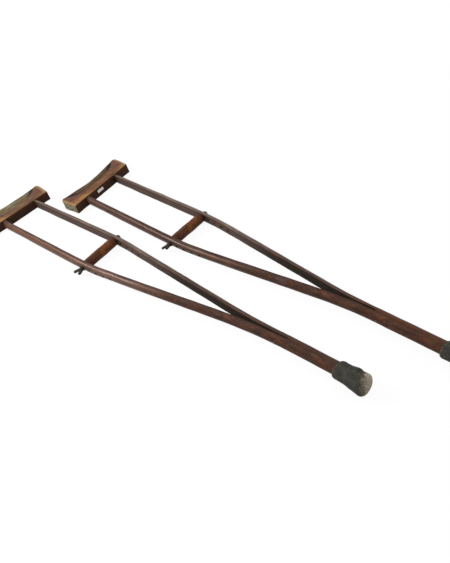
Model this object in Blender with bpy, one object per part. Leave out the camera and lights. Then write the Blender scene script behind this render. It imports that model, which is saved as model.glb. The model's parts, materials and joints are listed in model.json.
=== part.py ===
"""A pair of wooden underarm crutches, each bent from one split staff.

Each crutch is one ash staff, sawn down the middle from its top and spread
into two bows. The bows are glued into mortises in a carved arm rest. A
turned hand grip sits between them on a long bolt, held by a wing nut, and
four spare holes let the grip move down. A rivet holds the staff together by
the end of the saw cut, and a moulded rubber ferrule covers the foot.

The crutches lie on the floor, as they are laid down side by side.
In a crutch's own frame +X runs from the arm rest to the foot, with x = 0 on
the underside of the rest, +Y runs across the bows and +Z runs up.
Lengths are in metres.
"""
import math

import bmesh
import bpy
from mathutils import Matrix, Vector

# How the two crutches lie, and what differs between them
CRUTCHES = {
    "rear": {
        "place": (0.0, 0.0), "turn": 0.0,
        "rest_skew": 2.3, "rest_shift": 0.0, "rest_flare": 0.040, "rest_lean": 0.017,
        "waist_crest": 0.0548, "waist_rounding": 3.6,
        "fork": 0.979, "shoulder_bend": 0.140, "fork_bend": 0.145, "fork_offset": 0.0034,
        "nut_turn": -22.0, "foot_lean": 0.002,
    },
    "front": {
        "place": (-0.150, -0.1955), "turn": 1.94,
        "rest_skew": -8.0, "rest_shift": -0.003, "rest_flare": -0.015, "rest_lean": 0.017,
        "waist_crest": 0.0612, "waist_rounding": 4.8,
        "fork": 1.020, "shoulder_bend": 0.094, "fork_bend": 0.205, "fork_offset": 0.0040,
        "nut_turn": -8.0, "foot_lean": 0.0072,
    },
}
SIDES = {"near": -1, "far": 1}

# Fits
WOOD_CLEARANCE = 0.0003
METAL_CLEARANCE = 0.0003
SOCKET_CLEARANCE = 0.0005

# Staff and bows
TIP_DISTANCE = 1.234
STAFF_DIAMETER = 0.031
KERF_WIDTH = 0.0025
BOW_GAP_AT_REST = 0.0976
BOW_GAP_AT_GRIP = 0.100
BOW_TOP_THICKNESS = 0.0135
BOW_THICKNESS = 0.015
BOW_DEPTH = 0.0254
SHOULDER_START = 0.352
DEPTH_GROWTH_START = 0.450
BOW_ROUNDING = 2.2
BOW_ARC_STEPS = 8
STRAIGHT_STATION_SPACING = 0.065
BENT_STATION_SPACING = 0.026
RIM_BEND = 0.004

# Arm rest
REST_LENGTH = 0.200
REST_THICKNESS = 0.0286
HORN_HEIGHT = 0.063
HORN_ARRIS = 0.002
HORN_LAND = 0.010
HORN_CORNER_RADIUS = 0.008
WAIST_SIDE = 0.025
SCALLOP_STEEPNESS = 3.4
HORN_ROUNDING = 6.0
SADDLE_ARC_STEPS = 10
SADDLE_STATIONS = 9
CORNER_STATIONS = 3
MORTISE_DEPTH = 0.022

# Hand grip and its bolt
GRIP_DISTANCE = 0.3716
GRIP_DIAMETER = 0.0262
GRIP_END_DIAMETER = 0.0250
GRIP_ARRIS = 0.0015
GRIP_SPANS = 6
BOLT_DIAMETER = 0.0064
BOLT_HEAD_DIAMETER = 0.0135
BOLT_HEAD_HEIGHT = 0.0048
BOLT_END_CHAMFER = 0.0008
BOLT_PROTRUSION = 0.0038
GRIP_HOLE_COUNT = 5
GRIP_HOLE_PITCH = 0.0264
GRIP_HOLE_CLEARANCE = 0.0004
SEAT_DEPTH = 0.0018
SEAT_CLEARANCE = 0.0004
WASHER_DIAMETER = 0.0155
WASHER_THICKNESS = 0.0014

# Wing nut
NUT_BASE_DIAMETER = 0.0130
NUT_TOP_DIAMETER = 0.0100
NUT_HEIGHT = 0.0100
WING_SPAN = 0.0284
WING_RISE = 0.0175
WING_EAR_RADIUS = 0.0035
WING_ROOT_RADIUS = 0.0030
WING_THICKNESS = 0.0026

# Rivet by the end of the saw cut
RIVET_DISTANCE = 0.992
RIVET_DIAMETER = 0.0045
RIVET_HEAD_DIAMETER = 0.0092
RIVET_HEAD_HEIGHT = 0.0026
RIVET_TAIL_DIAMETER = 0.0062
RIVET_TAIL_HEIGHT = 0.0016
RIVET_SEAT_DEPTH = 0.0014
ROVE_THICKNESS = 0.0012

# Rubber ferrule: positions along it are measured from its rim
FERRULE_LENGTH = 0.076
FERRULE_FLOOR = 0.013
FERRULE_LIP_RADIUS = 0.0176
FERRULE_SLEEVE_RADIUS = 0.0208
FERRULE_SLEEVE_END = 0.0236
FERRULE_RING_START = 0.0320
FERRULE_RING_POSITION = 0.038
FERRULE_RING_END = 0.046
FERRULE_RING_RADIUS = 0.0236
FERRULE_WAIST_POSITION = 0.053
FERRULE_WAIST_RADIUS = 0.0229
FERRULE_FOOT_START = 0.063
FERRULE_FOOT_POSITION = 0.070
FERRULE_FOOT_END = 0.074
FERRULE_FOOT_RADIUS = 0.0248
FERRULE_TREAD_RADIUS = 0.0225
FERRULE_CURVE_DROP = 0.0006

ROUND_STEPS = 24
SMALL_ROUND_STEPS = 16
HEAD_DOME_STEPS = 4
TAIL_DOME_STEPS = 3
LIP_STEPS = 3
EAR_STEPS = 8
SHARP_ANGLE = math.radians(32)

# Colours as linear red, green and blue, with roughness and metallic
FINISHES = {
    "staff": ((0.085, 0.035, 0.020), 0.45, 0.0),
    "arm_rest": ((0.200, 0.085, 0.030), 0.50, 0.0),
    "hand_grip": ((0.180, 0.060, 0.022), 0.42, 0.0),
    "iron": ((0.060, 0.052, 0.046), 0.55, 0.85),
    "ferrule": ((0.035, 0.036, 0.032), 0.80, 0.0),
}

SHAFT_RADIUS = STAFF_DIAMETER / 2
HALF_KERF = KERF_WIDTH / 2
RIM_DISTANCE = TIP_DISTANCE - FERRULE_LENGTH
STAFF_END = TIP_DISTANCE - FERRULE_FLOOR - WOOD_CLEARANCE
SCALLOP_EDGE = REST_LENGTH / 2 - HORN_LAND


def clear_scene():
    for thing in list(bpy.data.objects):
        bpy.data.objects.remove(thing, do_unlink=True)


# Shared helpers

def finish_material(name, finish):
    colour, roughness, metallic = FINISHES[finish]
    material = bpy.data.materials.new(name)
    material.use_nodes = True
    shader = material.node_tree.nodes["Principled BSDF"]
    shader.inputs["Base Color"].default_value = (*colour, 1.0)
    shader.inputs["Roughness"].default_value = roughness
    shader.inputs["Metallic"].default_value = metallic
    return material


def mesh_object(name, bm, finish, parent):
    """Turn a closed bmesh into a named, shaded object under its parent."""
    bmesh.ops.recalc_face_normals(bm, faces=bm.faces)
    mesh = bpy.data.meshes.new(name)
    bm.to_mesh(mesh)
    bm.free()
    mesh.shade_smooth()
    mesh.set_sharp_from_angle(angle=SHARP_ANGLE)
    mesh.materials.append(finish_material(name, finish))
    thing = bpy.data.objects.new(name, mesh)
    bpy.context.scene.collection.objects.link(thing)
    thing.parent = parent
    return thing


def cutter_object(name, bm, parent):
    bmesh.ops.recalc_face_normals(bm, faces=bm.faces)
    mesh = bpy.data.meshes.new(name)
    bm.to_mesh(mesh)
    bm.free()
    cutter = bpy.data.objects.new(name, mesh)
    bpy.context.scene.collection.objects.link(cutter)
    cutter.parent = parent
    cutter.hide_render = True
    cutter.display_type = "WIRE"
    return cutter


def cut(target, cutter):
    modifier = target.modifiers.new(cutter.name, "BOOLEAN")
    modifier.operation = "DIFFERENCE"
    modifier.solver = "EXACT"
    modifier.object = cutter


def bridge_rows(bm, rows, closed=True):
    """Skin neighbouring rows of vertices with quads."""
    for row, following in zip(rows, rows[1:]):
        count = len(row)
        spans = count if closed else count - 1
        for i in range(spans):
            j = (i + 1) % count
            bm.faces.new((row[i], row[j], following[j], following[i]))


def loft(sections):
    """A closed solid through a list of closed sections of equal length."""
    bm = bmesh.new()
    rows = [[bm.verts.new(point) for point in section] for section in sections]
    bridge_rows(bm, rows)
    bm.faces.new(rows[0])
    bm.faces.new(rows[-1])
    return bm


def turned(profile, steps, bored=False):
    """Revolve (x, radius) points about the X axis.

    A solid profile starts and ends on the axis. A bored one is a closed loop
    that stays clear of it.
    """
    bm = bmesh.new()
    points = [bm.verts.new((x, 0.0, radius)) for x, radius in profile]
    pairs = list(zip(points, points[1:]))
    if bored:
        pairs.append((points[-1], points[0]))
    edges = [bm.edges.new(pair) for pair in pairs]
    bmesh.ops.spin(bm, geom=points + edges, cent=(0, 0, 0), axis=(1, 0, 0),
                   angle=math.tau, steps=steps, use_merge=True)
    bmesh.ops.remove_doubles(bm, verts=bm.verts, dist=1e-6)
    return bm


def add_cylinder(bm, start, end, radius, steps):
    """Add a closed cylinder between two points."""
    start, end = Vector(start), Vector(end)
    along = end - start
    turn = along.to_track_quat("Z", "Y").to_matrix().to_4x4()
    bmesh.ops.create_cone(bm, cap_ends=True, segments=steps, radius1=radius, radius2=radius,
                          depth=along.length, matrix=Matrix.Translation((start + end) / 2) @ turn)


def arc(centre, radius, start, end, steps):
    """Points on an arc, from one angle to another in degrees."""
    points = []
    for i in range(steps + 1):
        angle = math.radians(start + (end - start) * i / steps)
        points.append((centre[0] + radius * math.cos(angle), centre[1] + radius * math.sin(angle)))
    return points


def superellipse_power(value, rounding):
    return math.copysign(abs(value) ** (2 / rounding), value)


def smooth_share(x, start, end):
    """0 before start, 1 after end and an S curve between them."""
    share = min(max((x - start) / (end - start), 0.0), 1.0)
    return share * share * (3 - 2 * share)


# Staff: two half-round bows that meet at the end of the saw cut

def half_gap(x, staff):
    """Half the clear space between the bows at a distance below the rest.

    From the saw cut's end the bows curve apart, run straight and curve back
    to parallel at the shoulder.
    """
    fork_bend, shoulder_bend = staff["fork_bend"], staff["shoulder_bend"]
    rise = BOW_GAP_AT_GRIP / 2 - HALF_KERF
    run = staff["fork"] - SHOULDER_START
    slope = rise / (run - (fork_bend + shoulder_bend) / 2)
    from_fork = max(staff["fork"] - x, 0.0)
    if from_fork <= fork_bend:
        return HALF_KERF + slope * from_fork ** 2 / (2 * fork_bend)
    if x > SHOULDER_START:
        straight = HALF_KERF + slope * (from_fork - fork_bend / 2)
        bend = max(SHOULDER_START + shoulder_bend - x, 0.0)
        return straight - slope * bend ** 2 / (2 * shoulder_bend)
    widening = smooth_share(x, 0.0, SHOULDER_START)
    return (BOW_GAP_AT_REST + (BOW_GAP_AT_GRIP - BOW_GAP_AT_REST) * widening) / 2


def middle_offset(x, staff):
    """How far the staff has warped to the far side, back in line at the ferrule."""
    fork = staff["fork"]
    warp_start = GRIP_DISTANCE + GRIP_DIAMETER
    warp_end = fork - staff["fork_bend"] / 2
    if x <= fork:
        return staff["fork_offset"] * smooth_share(x, warp_start, warp_end)
    return staff["fork_offset"] * max(RIM_DISTANCE - x, 0.0) / (RIM_DISTANCE - fork)


def bow_thickness(x):
    top_to_grip = smooth_share(x, 0.0, SHOULDER_START)
    return BOW_TOP_THICKNESS + (BOW_THICKNESS - BOW_TOP_THICKNESS) * top_to_grip


def bow_section(x, staff, side, grow=0.0):
    """A bow's section, from its top arris round the outside to its lower one.

    The bow is a worn half round that grows into half of the round shaft.
    """
    to_shaft = smooth_share(x, DEPTH_GROWTH_START, staff["fork"])
    half_depth = BOW_DEPTH / 2 + grow
    thickness = bow_thickness(x) + 2 * grow
    shaft_arris = math.acos(HALF_KERF / SHAFT_RADIUS)
    points = []
    for i in range(BOW_ARC_STEPS + 1):
        share = 1 - 2 * i / BOW_ARC_STEPS
        angle = share * math.pi / 2
        bow_out = thickness * superellipse_power(max(math.cos(angle), 0.0), BOW_ROUNDING)
        bow_up = half_depth * superellipse_power(math.sin(angle), BOW_ROUNDING)
        shaft_out = SHAFT_RADIUS * math.cos(share * shaft_arris) - HALF_KERF
        shaft_up = SHAFT_RADIUS * math.sin(share * shaft_arris)
        outward = half_gap(x, staff) - grow + bow_out + (shaft_out - bow_out) * to_shaft
        up = bow_up + (shaft_up - bow_up) * to_shaft
        points.append((x, middle_offset(x, staff) + side * outward, up))
    return points


def rest_underside(y, skew):
    """Where the arm rest's underside crosses a line at this y."""
    return -y * math.tan(math.radians(skew))


def bow_end(side, skew):
    middle = BOW_GAP_AT_REST / 2 + BOW_TOP_THICKNESS / 2
    return rest_underside(side * middle, skew) - MORTISE_DEPTH


def spaced(start, end, spacing):
    count = max(round((end - start) / spacing), 1)
    return [start + (end - start) * i / count for i in range(count + 1)]


def staff_bmesh(staff):
    bm = bmesh.new()
    fork = staff["fork"]
    last_rows = {}
    for side in SIDES.values():
        top = bow_end(side, staff["rest_skew"])
        stations = spaced(top, SHOULDER_START, STRAIGHT_STATION_SPACING)
        stations += spaced(SHOULDER_START, fork, BENT_STATION_SPACING)[1:]
        rows = [[bm.verts.new(point) for point in bow_section(x, staff, side)] for x in stations]
        bridge_rows(bm, rows)
        bm.faces.new(rows[0])
        last_rows[side] = rows[-1]
    near, far = last_rows[-1], last_rows[1]
    bm.faces.new((near[0], near[-1], far[-1], far[0]))

    rings = [near + far[::-1]]
    shaft_stations = spaced(fork, RIM_DISTANCE, STRAIGHT_STATION_SPACING)[1:]
    shaft_stations += [RIM_DISTANCE + RIM_BEND, STAFF_END]
    for x in shaft_stations:
        section = bow_section(x, staff, -1) + bow_section(x, staff, 1)[::-1]
        rings.append([bm.verts.new(point) for point in section])
    bridge_rows(bm, rings)
    bm.faces.new(rings[-1])
    return bm


def seat_plane():
    """How far the washers' seats lie from the middle of the crutch."""
    return BOW_GAP_AT_GRIP / 2 + BOW_THICKNESS - SEAT_DEPTH


def grip_hole_positions():
    return [GRIP_DISTANCE + i * GRIP_HOLE_PITCH for i in range(GRIP_HOLE_COUNT)]


def cut_grip_holes(staff, label, parent):
    reach = BOW_GAP_AT_GRIP / 2 + 2 * BOW_THICKNESS
    radius = BOLT_DIAMETER / 2 + GRIP_HOLE_CLEARANCE
    bm = bmesh.new()
    for x in grip_hole_positions():
        add_cylinder(bm, (x, -reach, 0), (x, reach, 0), radius, SMALL_ROUND_STEPS)
    cut(staff, cutter_object(f"{label}_grip_hole_cutter", bm, parent))

    bm = bmesh.new()
    radius = WASHER_DIAMETER / 2 + SEAT_CLEARANCE
    for side in SIDES.values():
        seat = (GRIP_DISTANCE, side * seat_plane(), 0)
        add_cylinder(bm, seat, (GRIP_DISTANCE, side * reach, 0), radius, ROUND_STEPS)
    cut(staff, cutter_object(f"{label}_washer_seat_cutter", bm, parent))


def rivet_seat(values):
    """How far the rivet's seats lie from the middle of the staff."""
    return half_gap(RIVET_DISTANCE, values) + SHAFT_RADIUS - HALF_KERF - RIVET_SEAT_DEPTH


def cut_rivet_hole(staff, label, values, parent):
    x = RIVET_DISTANCE
    middle = middle_offset(x, values)
    radius = RIVET_DIAMETER / 2 + METAL_CLEARANCE
    near_end, far_end = middle - STAFF_DIAMETER, middle + STAFF_DIAMETER
    bm = bmesh.new()
    add_cylinder(bm, (x, near_end, 0), (x, far_end, 0), radius, SMALL_ROUND_STEPS)
    cut(staff, cutter_object(f"{label}_rivet_hole_cutter", bm, parent))

    bm = bmesh.new()
    radius = RIVET_HEAD_DIAMETER / 2 + SEAT_CLEARANCE
    for side in SIDES.values():
        seat = (x, middle + side * rivet_seat(values), 0)
        add_cylinder(bm, seat, (x, middle + side * STAFF_DIAMETER, 0), radius, SMALL_ROUND_STEPS)
    cut(staff, cutter_object(f"{label}_rivet_seat_cutter", bm, parent))


# Arm rest: a block with square horns and a rounded, hollowed saddle

def saddle_share(y):
    """0 in the middle of the saddle, 1 where it meets the horns."""
    return min(abs(y) / SCALLOP_EDGE, 1.0)


def corner_drop(y):
    into_corner = abs(y) - (REST_LENGTH / 2 - HORN_CORNER_RADIUS)
    if into_corner <= 0:
        return 0.0
    return HORN_CORNER_RADIUS - math.sqrt(max(HORN_CORNER_RADIUS ** 2 - into_corner ** 2, 0.0))


def rest_section(y, values):
    """Section across the rest: flat sides, then the rounded top, which is squarer by the horns."""
    share = saddle_share(y)
    horn_side = HORN_HEIGHT - HORN_ARRIS
    side_height = WAIST_SIDE + (horn_side - WAIST_SIDE) * share ** SCALLOP_STEEPNESS - corner_drop(y)
    waist = values["waist_crest"]
    crest = waist + (HORN_HEIGHT - waist) * smooth_share(share, 0.0, 1.0) - corner_drop(y)
    rounding = values["waist_rounding"] + (HORN_ROUNDING - values["waist_rounding"]) * share
    half = REST_THICKNESS / 2
    points = [(0.0, y, half)]
    for i in range(SADDLE_ARC_STEPS + 1):
        angle = math.pi * i / SADDLE_ARC_STEPS
        across = half * superellipse_power(math.cos(angle), rounding)
        rise = (crest - side_height) * superellipse_power(max(math.sin(angle), 0.0), rounding)
        points.append((-(side_height + rise), y, across))
    points.append((0.0, y, -half))
    return points


def rest_stations():
    """Places along one half of the rest, closer together at the horns."""
    stations = [SCALLOP_EDGE * math.sin(math.pi / 2 * i / SADDLE_STATIONS) for i in range(SADDLE_STATIONS + 1)]
    corner_start = REST_LENGTH / 2 - HORN_CORNER_RADIUS
    stations.append(corner_start)
    for i in range(1, CORNER_STATIONS + 1):
        angle = math.pi / 2 * i / CORNER_STATIONS
        stations.append(corner_start + HORN_CORNER_RADIUS * math.sin(angle))
    return stations


def lean_and_flare(bm, values):
    """Spread the horns, and let the rest grow taller to its near end, as it was carved."""
    for vertex in bm.verts:
        height_share = -vertex.co.x / HORN_HEIGHT
        vertex.co.x += values["rest_lean"] * vertex.co.y * height_share
        vertex.co.y *= 1 + values["rest_flare"] * height_share


def make_arm_rest(label, values, parent):
    skew = values["rest_skew"]
    half = rest_stations()
    stations = [-y for y in reversed(half[1:])] + half
    bm = loft([rest_section(y, values) for y in stations])
    lean_and_flare(bm, values)
    bmesh.ops.translate(bm, verts=bm.verts, vec=(0, values["rest_shift"], 0))
    bmesh.ops.rotate(bm, verts=bm.verts, cent=(0, 0, 0), matrix=Matrix.Rotation(math.radians(skew), 3, "Z"))
    rest = mesh_object(f"{label}_arm_rest", bm, "arm_rest", parent)
    for name, side in SIDES.items():
        top = bow_end(side, skew) - WOOD_CLEARANCE
        outside = HORN_HEIGHT
        mortise = loft([[(x, y, z) for _, y, z in bow_section(0.0, values, side, WOOD_CLEARANCE)]
                        for x in (top, outside)])
        cut(rest, cutter_object(f"{label}_{name}_mortise_cutter", mortise, parent))


# Hand grip, bolt, washers and wing nut

def bolt_frame(label, parent):
    """An empty on the bolt's axis, with +X pointing from the nut to the head."""
    frame = bpy.data.objects.new(f"{label}_bolt_axis", None)
    bpy.context.scene.collection.objects.link(frame)
    frame.parent = parent
    frame.location = (GRIP_DISTANCE, 0, 0)
    frame.rotation_euler = (0, 0, math.pi / 2)
    return frame


def make_hand_grip(label, values, axis):
    half_length = half_gap(GRIP_DISTANCE + GRIP_DIAMETER / 2, values) - WOOD_CLEARANCE
    bore = BOLT_DIAMETER / 2 + GRIP_HOLE_CLEARANCE
    end_radius = GRIP_END_DIAMETER / 2
    swell = (GRIP_DIAMETER - GRIP_END_DIAMETER) / 2
    body = half_length - GRIP_ARRIS
    profile = [(-half_length, bore), (-half_length, end_radius - GRIP_ARRIS)]
    for x in spaced(-body, body, 2 * body / GRIP_SPANS):
        profile.append((x, end_radius + swell * (1 - (x / body) ** 2)))
    profile += [(half_length, end_radius - GRIP_ARRIS), (half_length, bore)]
    return mesh_object(f"{label}_hand_grip", turned(profile, ROUND_STEPS, bored=True), "hand_grip", axis)


def dome(base, height, radius, steps, outward=1):
    """Profile points of a domed head, from its rim to its crown on the axis."""
    points = []
    for i in range(steps + 1):
        angle = math.pi / 2 * i / steps
        points.append((base + outward * height * math.sin(angle), radius * math.cos(angle)))
    points[-1] = (base + outward * height, 0.0)
    return points


def washer_outer_face():
    return seat_plane() + METAL_CLEARANCE + WASHER_THICKNESS


def nut_base():
    return washer_outer_face() + METAL_CLEARANCE


def make_bolt(label, axis):
    shank = BOLT_DIAMETER / 2
    head_face = nut_base()
    end = -(nut_base() + NUT_HEIGHT + BOLT_PROTRUSION)
    profile = [(end, 0.0), (end, shank - BOLT_END_CHAMFER), (end + BOLT_END_CHAMFER, shank), (head_face, shank)]
    profile += dome(head_face, BOLT_HEAD_HEIGHT, BOLT_HEAD_DIAMETER / 2, HEAD_DOME_STEPS)
    return mesh_object(f"{label}_grip_bolt", turned(profile, SMALL_ROUND_STEPS), "iron", axis)


def washer_profile(seat, outward):
    inner = BOLT_DIAMETER / 2 + METAL_CLEARANCE
    outer = WASHER_DIAMETER / 2
    near_face = outward * (seat + METAL_CLEARANCE)
    far_face = outward * (seat + METAL_CLEARANCE + WASHER_THICKNESS)
    return [(near_face, inner), (near_face, outer), (far_face, outer), (far_face, inner)]


def make_washers(label, axis):
    for name, outward in (("head_washer", 1), ("nut_washer", -1)):
        bm = turned(washer_profile(seat_plane(), outward), ROUND_STEPS, bored=True)
        mesh_object(f"{label}_{name}", bm, "iron", axis)


def ear_outline():
    """Outer tangent outline of a small circle at the hub and a big one at the tip."""
    root = (WING_ROOT_RADIUS, WING_ROOT_RADIUS)
    tip = (WING_SPAN / 2 - WING_EAR_RADIUS, WING_RISE)
    away = math.degrees(math.atan2(tip[1] - root[1], tip[0] - root[0]))
    distance = math.hypot(tip[0] - root[0], tip[1] - root[1])
    lean = math.degrees(math.asin((WING_EAR_RADIUS - WING_ROOT_RADIUS) / distance))
    spread = 90 + lean
    outline = arc(tip, WING_EAR_RADIUS, away - spread, away + spread, EAR_STEPS)
    outline += arc(root, WING_ROOT_RADIUS, away + spread, away + 360 - spread, EAR_STEPS // 2)
    return outline


def make_wing_nut(label, values, axis):
    base, top = -nut_base(), -(nut_base() + NUT_HEIGHT)
    hub_profile = [(base, 0.0), (base, NUT_BASE_DIAMETER / 2), (top, NUT_TOP_DIAMETER / 2), (top, 0.0)]
    nut = mesh_object(f"{label}_wing_nut", turned(hub_profile, SMALL_ROUND_STEPS), "iron", axis)
    nut.rotation_euler = (math.radians(values["nut_turn"]), 0, 0)
    for name, side in SIDES.items():
        faces = [[(base - rise, side * reach, z) for reach, rise in ear_outline()]
                 for z in (-WING_THICKNESS / 2, WING_THICKNESS / 2)]
        wing = cutter_object(f"{label}_{name}_wing", loft(faces), nut)
        modifier = nut.modifiers.new(wing.name, "BOOLEAN")
        modifier.operation = "UNION"
        modifier.solver = "EXACT"
        modifier.object = wing
    bore = bmesh.new()
    bore_start = (top - NUT_HEIGHT, 0, 0)
    add_cylinder(bore, bore_start, (0, 0, 0), BOLT_DIAMETER / 2 + METAL_CLEARANCE, SMALL_ROUND_STEPS)
    cut(nut, cutter_object(f"{label}_nut_bore_cutter", bore, axis))
    return nut


# Rivet and rove by the end of the saw cut

def make_rivet(label, values, parent):
    frame = bpy.data.objects.new(f"{label}_rivet_axis", None)
    bpy.context.scene.collection.objects.link(frame)
    frame.parent = parent
    frame.location = (RIVET_DISTANCE, middle_offset(RIVET_DISTANCE, values), 0)
    frame.rotation_euler = (0, 0, -math.pi / 2)
    head_face = rivet_seat(values) + METAL_CLEARANCE
    rove_face = head_face + ROVE_THICKNESS
    tail_face = rove_face + METAL_CLEARANCE
    shank = RIVET_DIAMETER / 2
    profile = dome(-tail_face, RIVET_TAIL_HEIGHT, RIVET_TAIL_DIAMETER / 2, TAIL_DOME_STEPS, outward=-1)[::-1]
    profile += [(-tail_face, shank), (head_face, shank)]
    profile += dome(head_face, RIVET_HEAD_HEIGHT, RIVET_HEAD_DIAMETER / 2, HEAD_DOME_STEPS)
    mesh_object(f"{label}_fork_rivet", turned(profile, SMALL_ROUND_STEPS), "iron", frame)

    inner = shank + METAL_CLEARANCE
    outer = RIVET_HEAD_DIAMETER / 2
    rove = [(-head_face, inner), (-head_face, outer), (-rove_face, outer), (-rove_face, inner)]
    mesh_object(f"{label}_rivet_rove", turned(rove, SMALL_ROUND_STEPS, bored=True), "iron", frame)


# Rubber ferrule

def ferrule_profile():
    """Outline from the bottom of the socket out over the rim to the tread."""
    socket_radius = SHAFT_RADIUS + SOCKET_CLEARANCE
    socket_end = FERRULE_LENGTH - FERRULE_FLOOR
    lip = FERRULE_SLEEVE_RADIUS - FERRULE_LIP_RADIUS
    ring_side = FERRULE_RING_RADIUS - FERRULE_CURVE_DROP
    foot_side = FERRULE_FOOT_RADIUS - FERRULE_CURVE_DROP
    socket = [(socket_end, 0.0), (socket_end, socket_radius), (0.0, socket_radius)]
    outside = arc((lip, FERRULE_LIP_RADIUS), lip, 180, 90, LIP_STEPS)
    outside += [
        (FERRULE_SLEEVE_END, FERRULE_SLEEVE_RADIUS),
        (FERRULE_RING_START, ring_side),
        (FERRULE_RING_POSITION, FERRULE_RING_RADIUS),
        (FERRULE_RING_END, ring_side),
        (FERRULE_WAIST_POSITION, FERRULE_WAIST_RADIUS),
        (FERRULE_FOOT_START, foot_side),
        (FERRULE_FOOT_POSITION, FERRULE_FOOT_RADIUS),
        (FERRULE_FOOT_END, foot_side),
        (FERRULE_LENGTH, FERRULE_TREAD_RADIUS),
    ]
    return socket + outside + [(FERRULE_LENGTH, 0.0)]


def make_ferrule(label, values, parent):
    """The outer skin leans to the near side towards the foot, the socket stays true."""
    bm = turned(ferrule_profile(), ROUND_STEPS)
    inside = SHAFT_RADIUS + 2 * SOCKET_CLEARANCE
    socket_end = FERRULE_LENGTH - FERRULE_FLOOR / 2
    for vertex in bm.verts:
        in_socket = math.hypot(vertex.co.y, vertex.co.z) < inside and vertex.co.x < socket_end
        if not in_socket:
            vertex.co.y -= values["foot_lean"] * vertex.co.x / FERRULE_LENGTH
    ferrule = mesh_object(f"{label}_ferrule", bm, "ferrule", parent)
    ferrule.location = (RIM_DISTANCE, 0, 0)
    return ferrule


# Whole crutch, and the pair on the floor

def lying_tilt():
    """The foot is fatter than the rest, so a crutch on the floor tips a little."""
    rise = FERRULE_FOOT_RADIUS - REST_THICKNESS / 2
    foot = RIM_DISTANCE + FERRULE_FOOT_POSITION
    return math.asin(rise / (foot + HORN_HEIGHT))


def make_crutch(label, values, pair):
    frame = bpy.data.objects.new(f"{label}_crutch_frame", None)
    bpy.context.scene.collection.objects.link(frame)
    frame.parent = pair
    frame.location = (*values["place"], 0.0)
    frame.rotation_euler = (0.0, -lying_tilt(), math.radians(values["turn"]))

    staff = mesh_object(f"{label}_staff", staff_bmesh(values), "staff", frame)
    make_arm_rest(label, values, frame)
    cut_grip_holes(staff, label, frame)
    cut_rivet_hole(staff, label, values, frame)

    axis = bolt_frame(label, frame)
    make_hand_grip(label, values, axis)
    make_bolt(label, axis)
    make_washers(label, axis)
    make_wing_nut(label, values, axis)
    make_rivet(label, values, frame)
    make_ferrule(label, values, frame)


def world_corners(things):
    """Lowest and highest corners of the finished solids."""
    bpy.context.view_layer.update()
    depsgraph = bpy.context.evaluated_depsgraph_get()
    points = []
    for thing in things:
        evaluated = thing.evaluated_get(depsgraph)
        points += [evaluated.matrix_world @ vertex.co for vertex in evaluated.data.vertices]
    low = Vector(min(point[i] for point in points) for i in range(3))
    high = Vector(max(point[i] for point in points) for i in range(3))
    return low, high


def main():
    clear_scene()
    pair = bpy.data.objects.new("pair_frame", None)
    bpy.context.scene.collection.objects.link(pair)
    for label, values in CRUTCHES.items():
        make_crutch(label, values, pair)

    solids = [thing for thing in bpy.data.objects if thing.type == "MESH" and not thing.hide_render]
    low, high = world_corners(solids)
    pair.location = (-(low.x + high.x) / 2, -(low.y + high.y) / 2, -low.z)
    bpy.context.view_layer.update()


main()
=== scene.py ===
import json
import math

import bmesh
import bpy
import numpy as np
from mathutils import Matrix, Vector, noise


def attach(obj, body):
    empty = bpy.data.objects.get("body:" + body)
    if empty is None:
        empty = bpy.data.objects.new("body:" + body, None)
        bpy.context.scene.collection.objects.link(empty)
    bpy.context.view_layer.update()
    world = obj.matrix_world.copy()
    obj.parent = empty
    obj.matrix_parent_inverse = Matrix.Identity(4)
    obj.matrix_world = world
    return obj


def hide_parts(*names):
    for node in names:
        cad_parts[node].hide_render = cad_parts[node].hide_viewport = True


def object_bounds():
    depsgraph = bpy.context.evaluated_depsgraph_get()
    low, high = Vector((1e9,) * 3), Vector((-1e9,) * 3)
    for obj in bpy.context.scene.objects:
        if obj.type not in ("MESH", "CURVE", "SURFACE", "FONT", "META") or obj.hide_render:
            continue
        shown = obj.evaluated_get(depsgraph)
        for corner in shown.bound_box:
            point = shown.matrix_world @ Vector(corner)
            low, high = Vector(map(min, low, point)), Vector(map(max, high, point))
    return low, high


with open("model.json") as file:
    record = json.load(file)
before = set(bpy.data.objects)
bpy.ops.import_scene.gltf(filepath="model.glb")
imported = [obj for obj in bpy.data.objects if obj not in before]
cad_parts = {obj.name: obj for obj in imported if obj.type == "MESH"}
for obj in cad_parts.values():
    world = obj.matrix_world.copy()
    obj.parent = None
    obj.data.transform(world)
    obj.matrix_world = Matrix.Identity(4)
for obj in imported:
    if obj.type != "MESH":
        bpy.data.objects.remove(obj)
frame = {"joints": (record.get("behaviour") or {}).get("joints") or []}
CAD_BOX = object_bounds()

# How the two crutches differ, in metres and degrees
CRUTCHES = {
    "rear": {
        "rest_skew": 2.3, "rest_shift": 0.0, "rest_flare": 0.040,
        "waist_crest": 0.0554, "waist_rounding": 3.6, "far_growth": 0.0030, "far_droop": 0.0,
        "fork": 0.979, "shoulder_bend": 0.140, "fork_bend": 0.145, "fork_offset": 0.0034,
        "nut_turn": -22.0, "foot_lean": 0.002,
    },
    "front": {
        "rest_skew": -8.0, "rest_shift": -0.003, "rest_flare": -0.015,
        "waist_crest": 0.0618, "waist_rounding": 4.8, "far_growth": 0.0, "far_droop": 0.0016,
        "fork": 1.020, "shoulder_bend": 0.094, "fork_bend": 0.205, "fork_offset": 0.0040,
        "nut_turn": -8.0, "foot_lean": 0.0072,
    },
}
SIDES = (-1, 1)
ROUND_STEPS = 32

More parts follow.
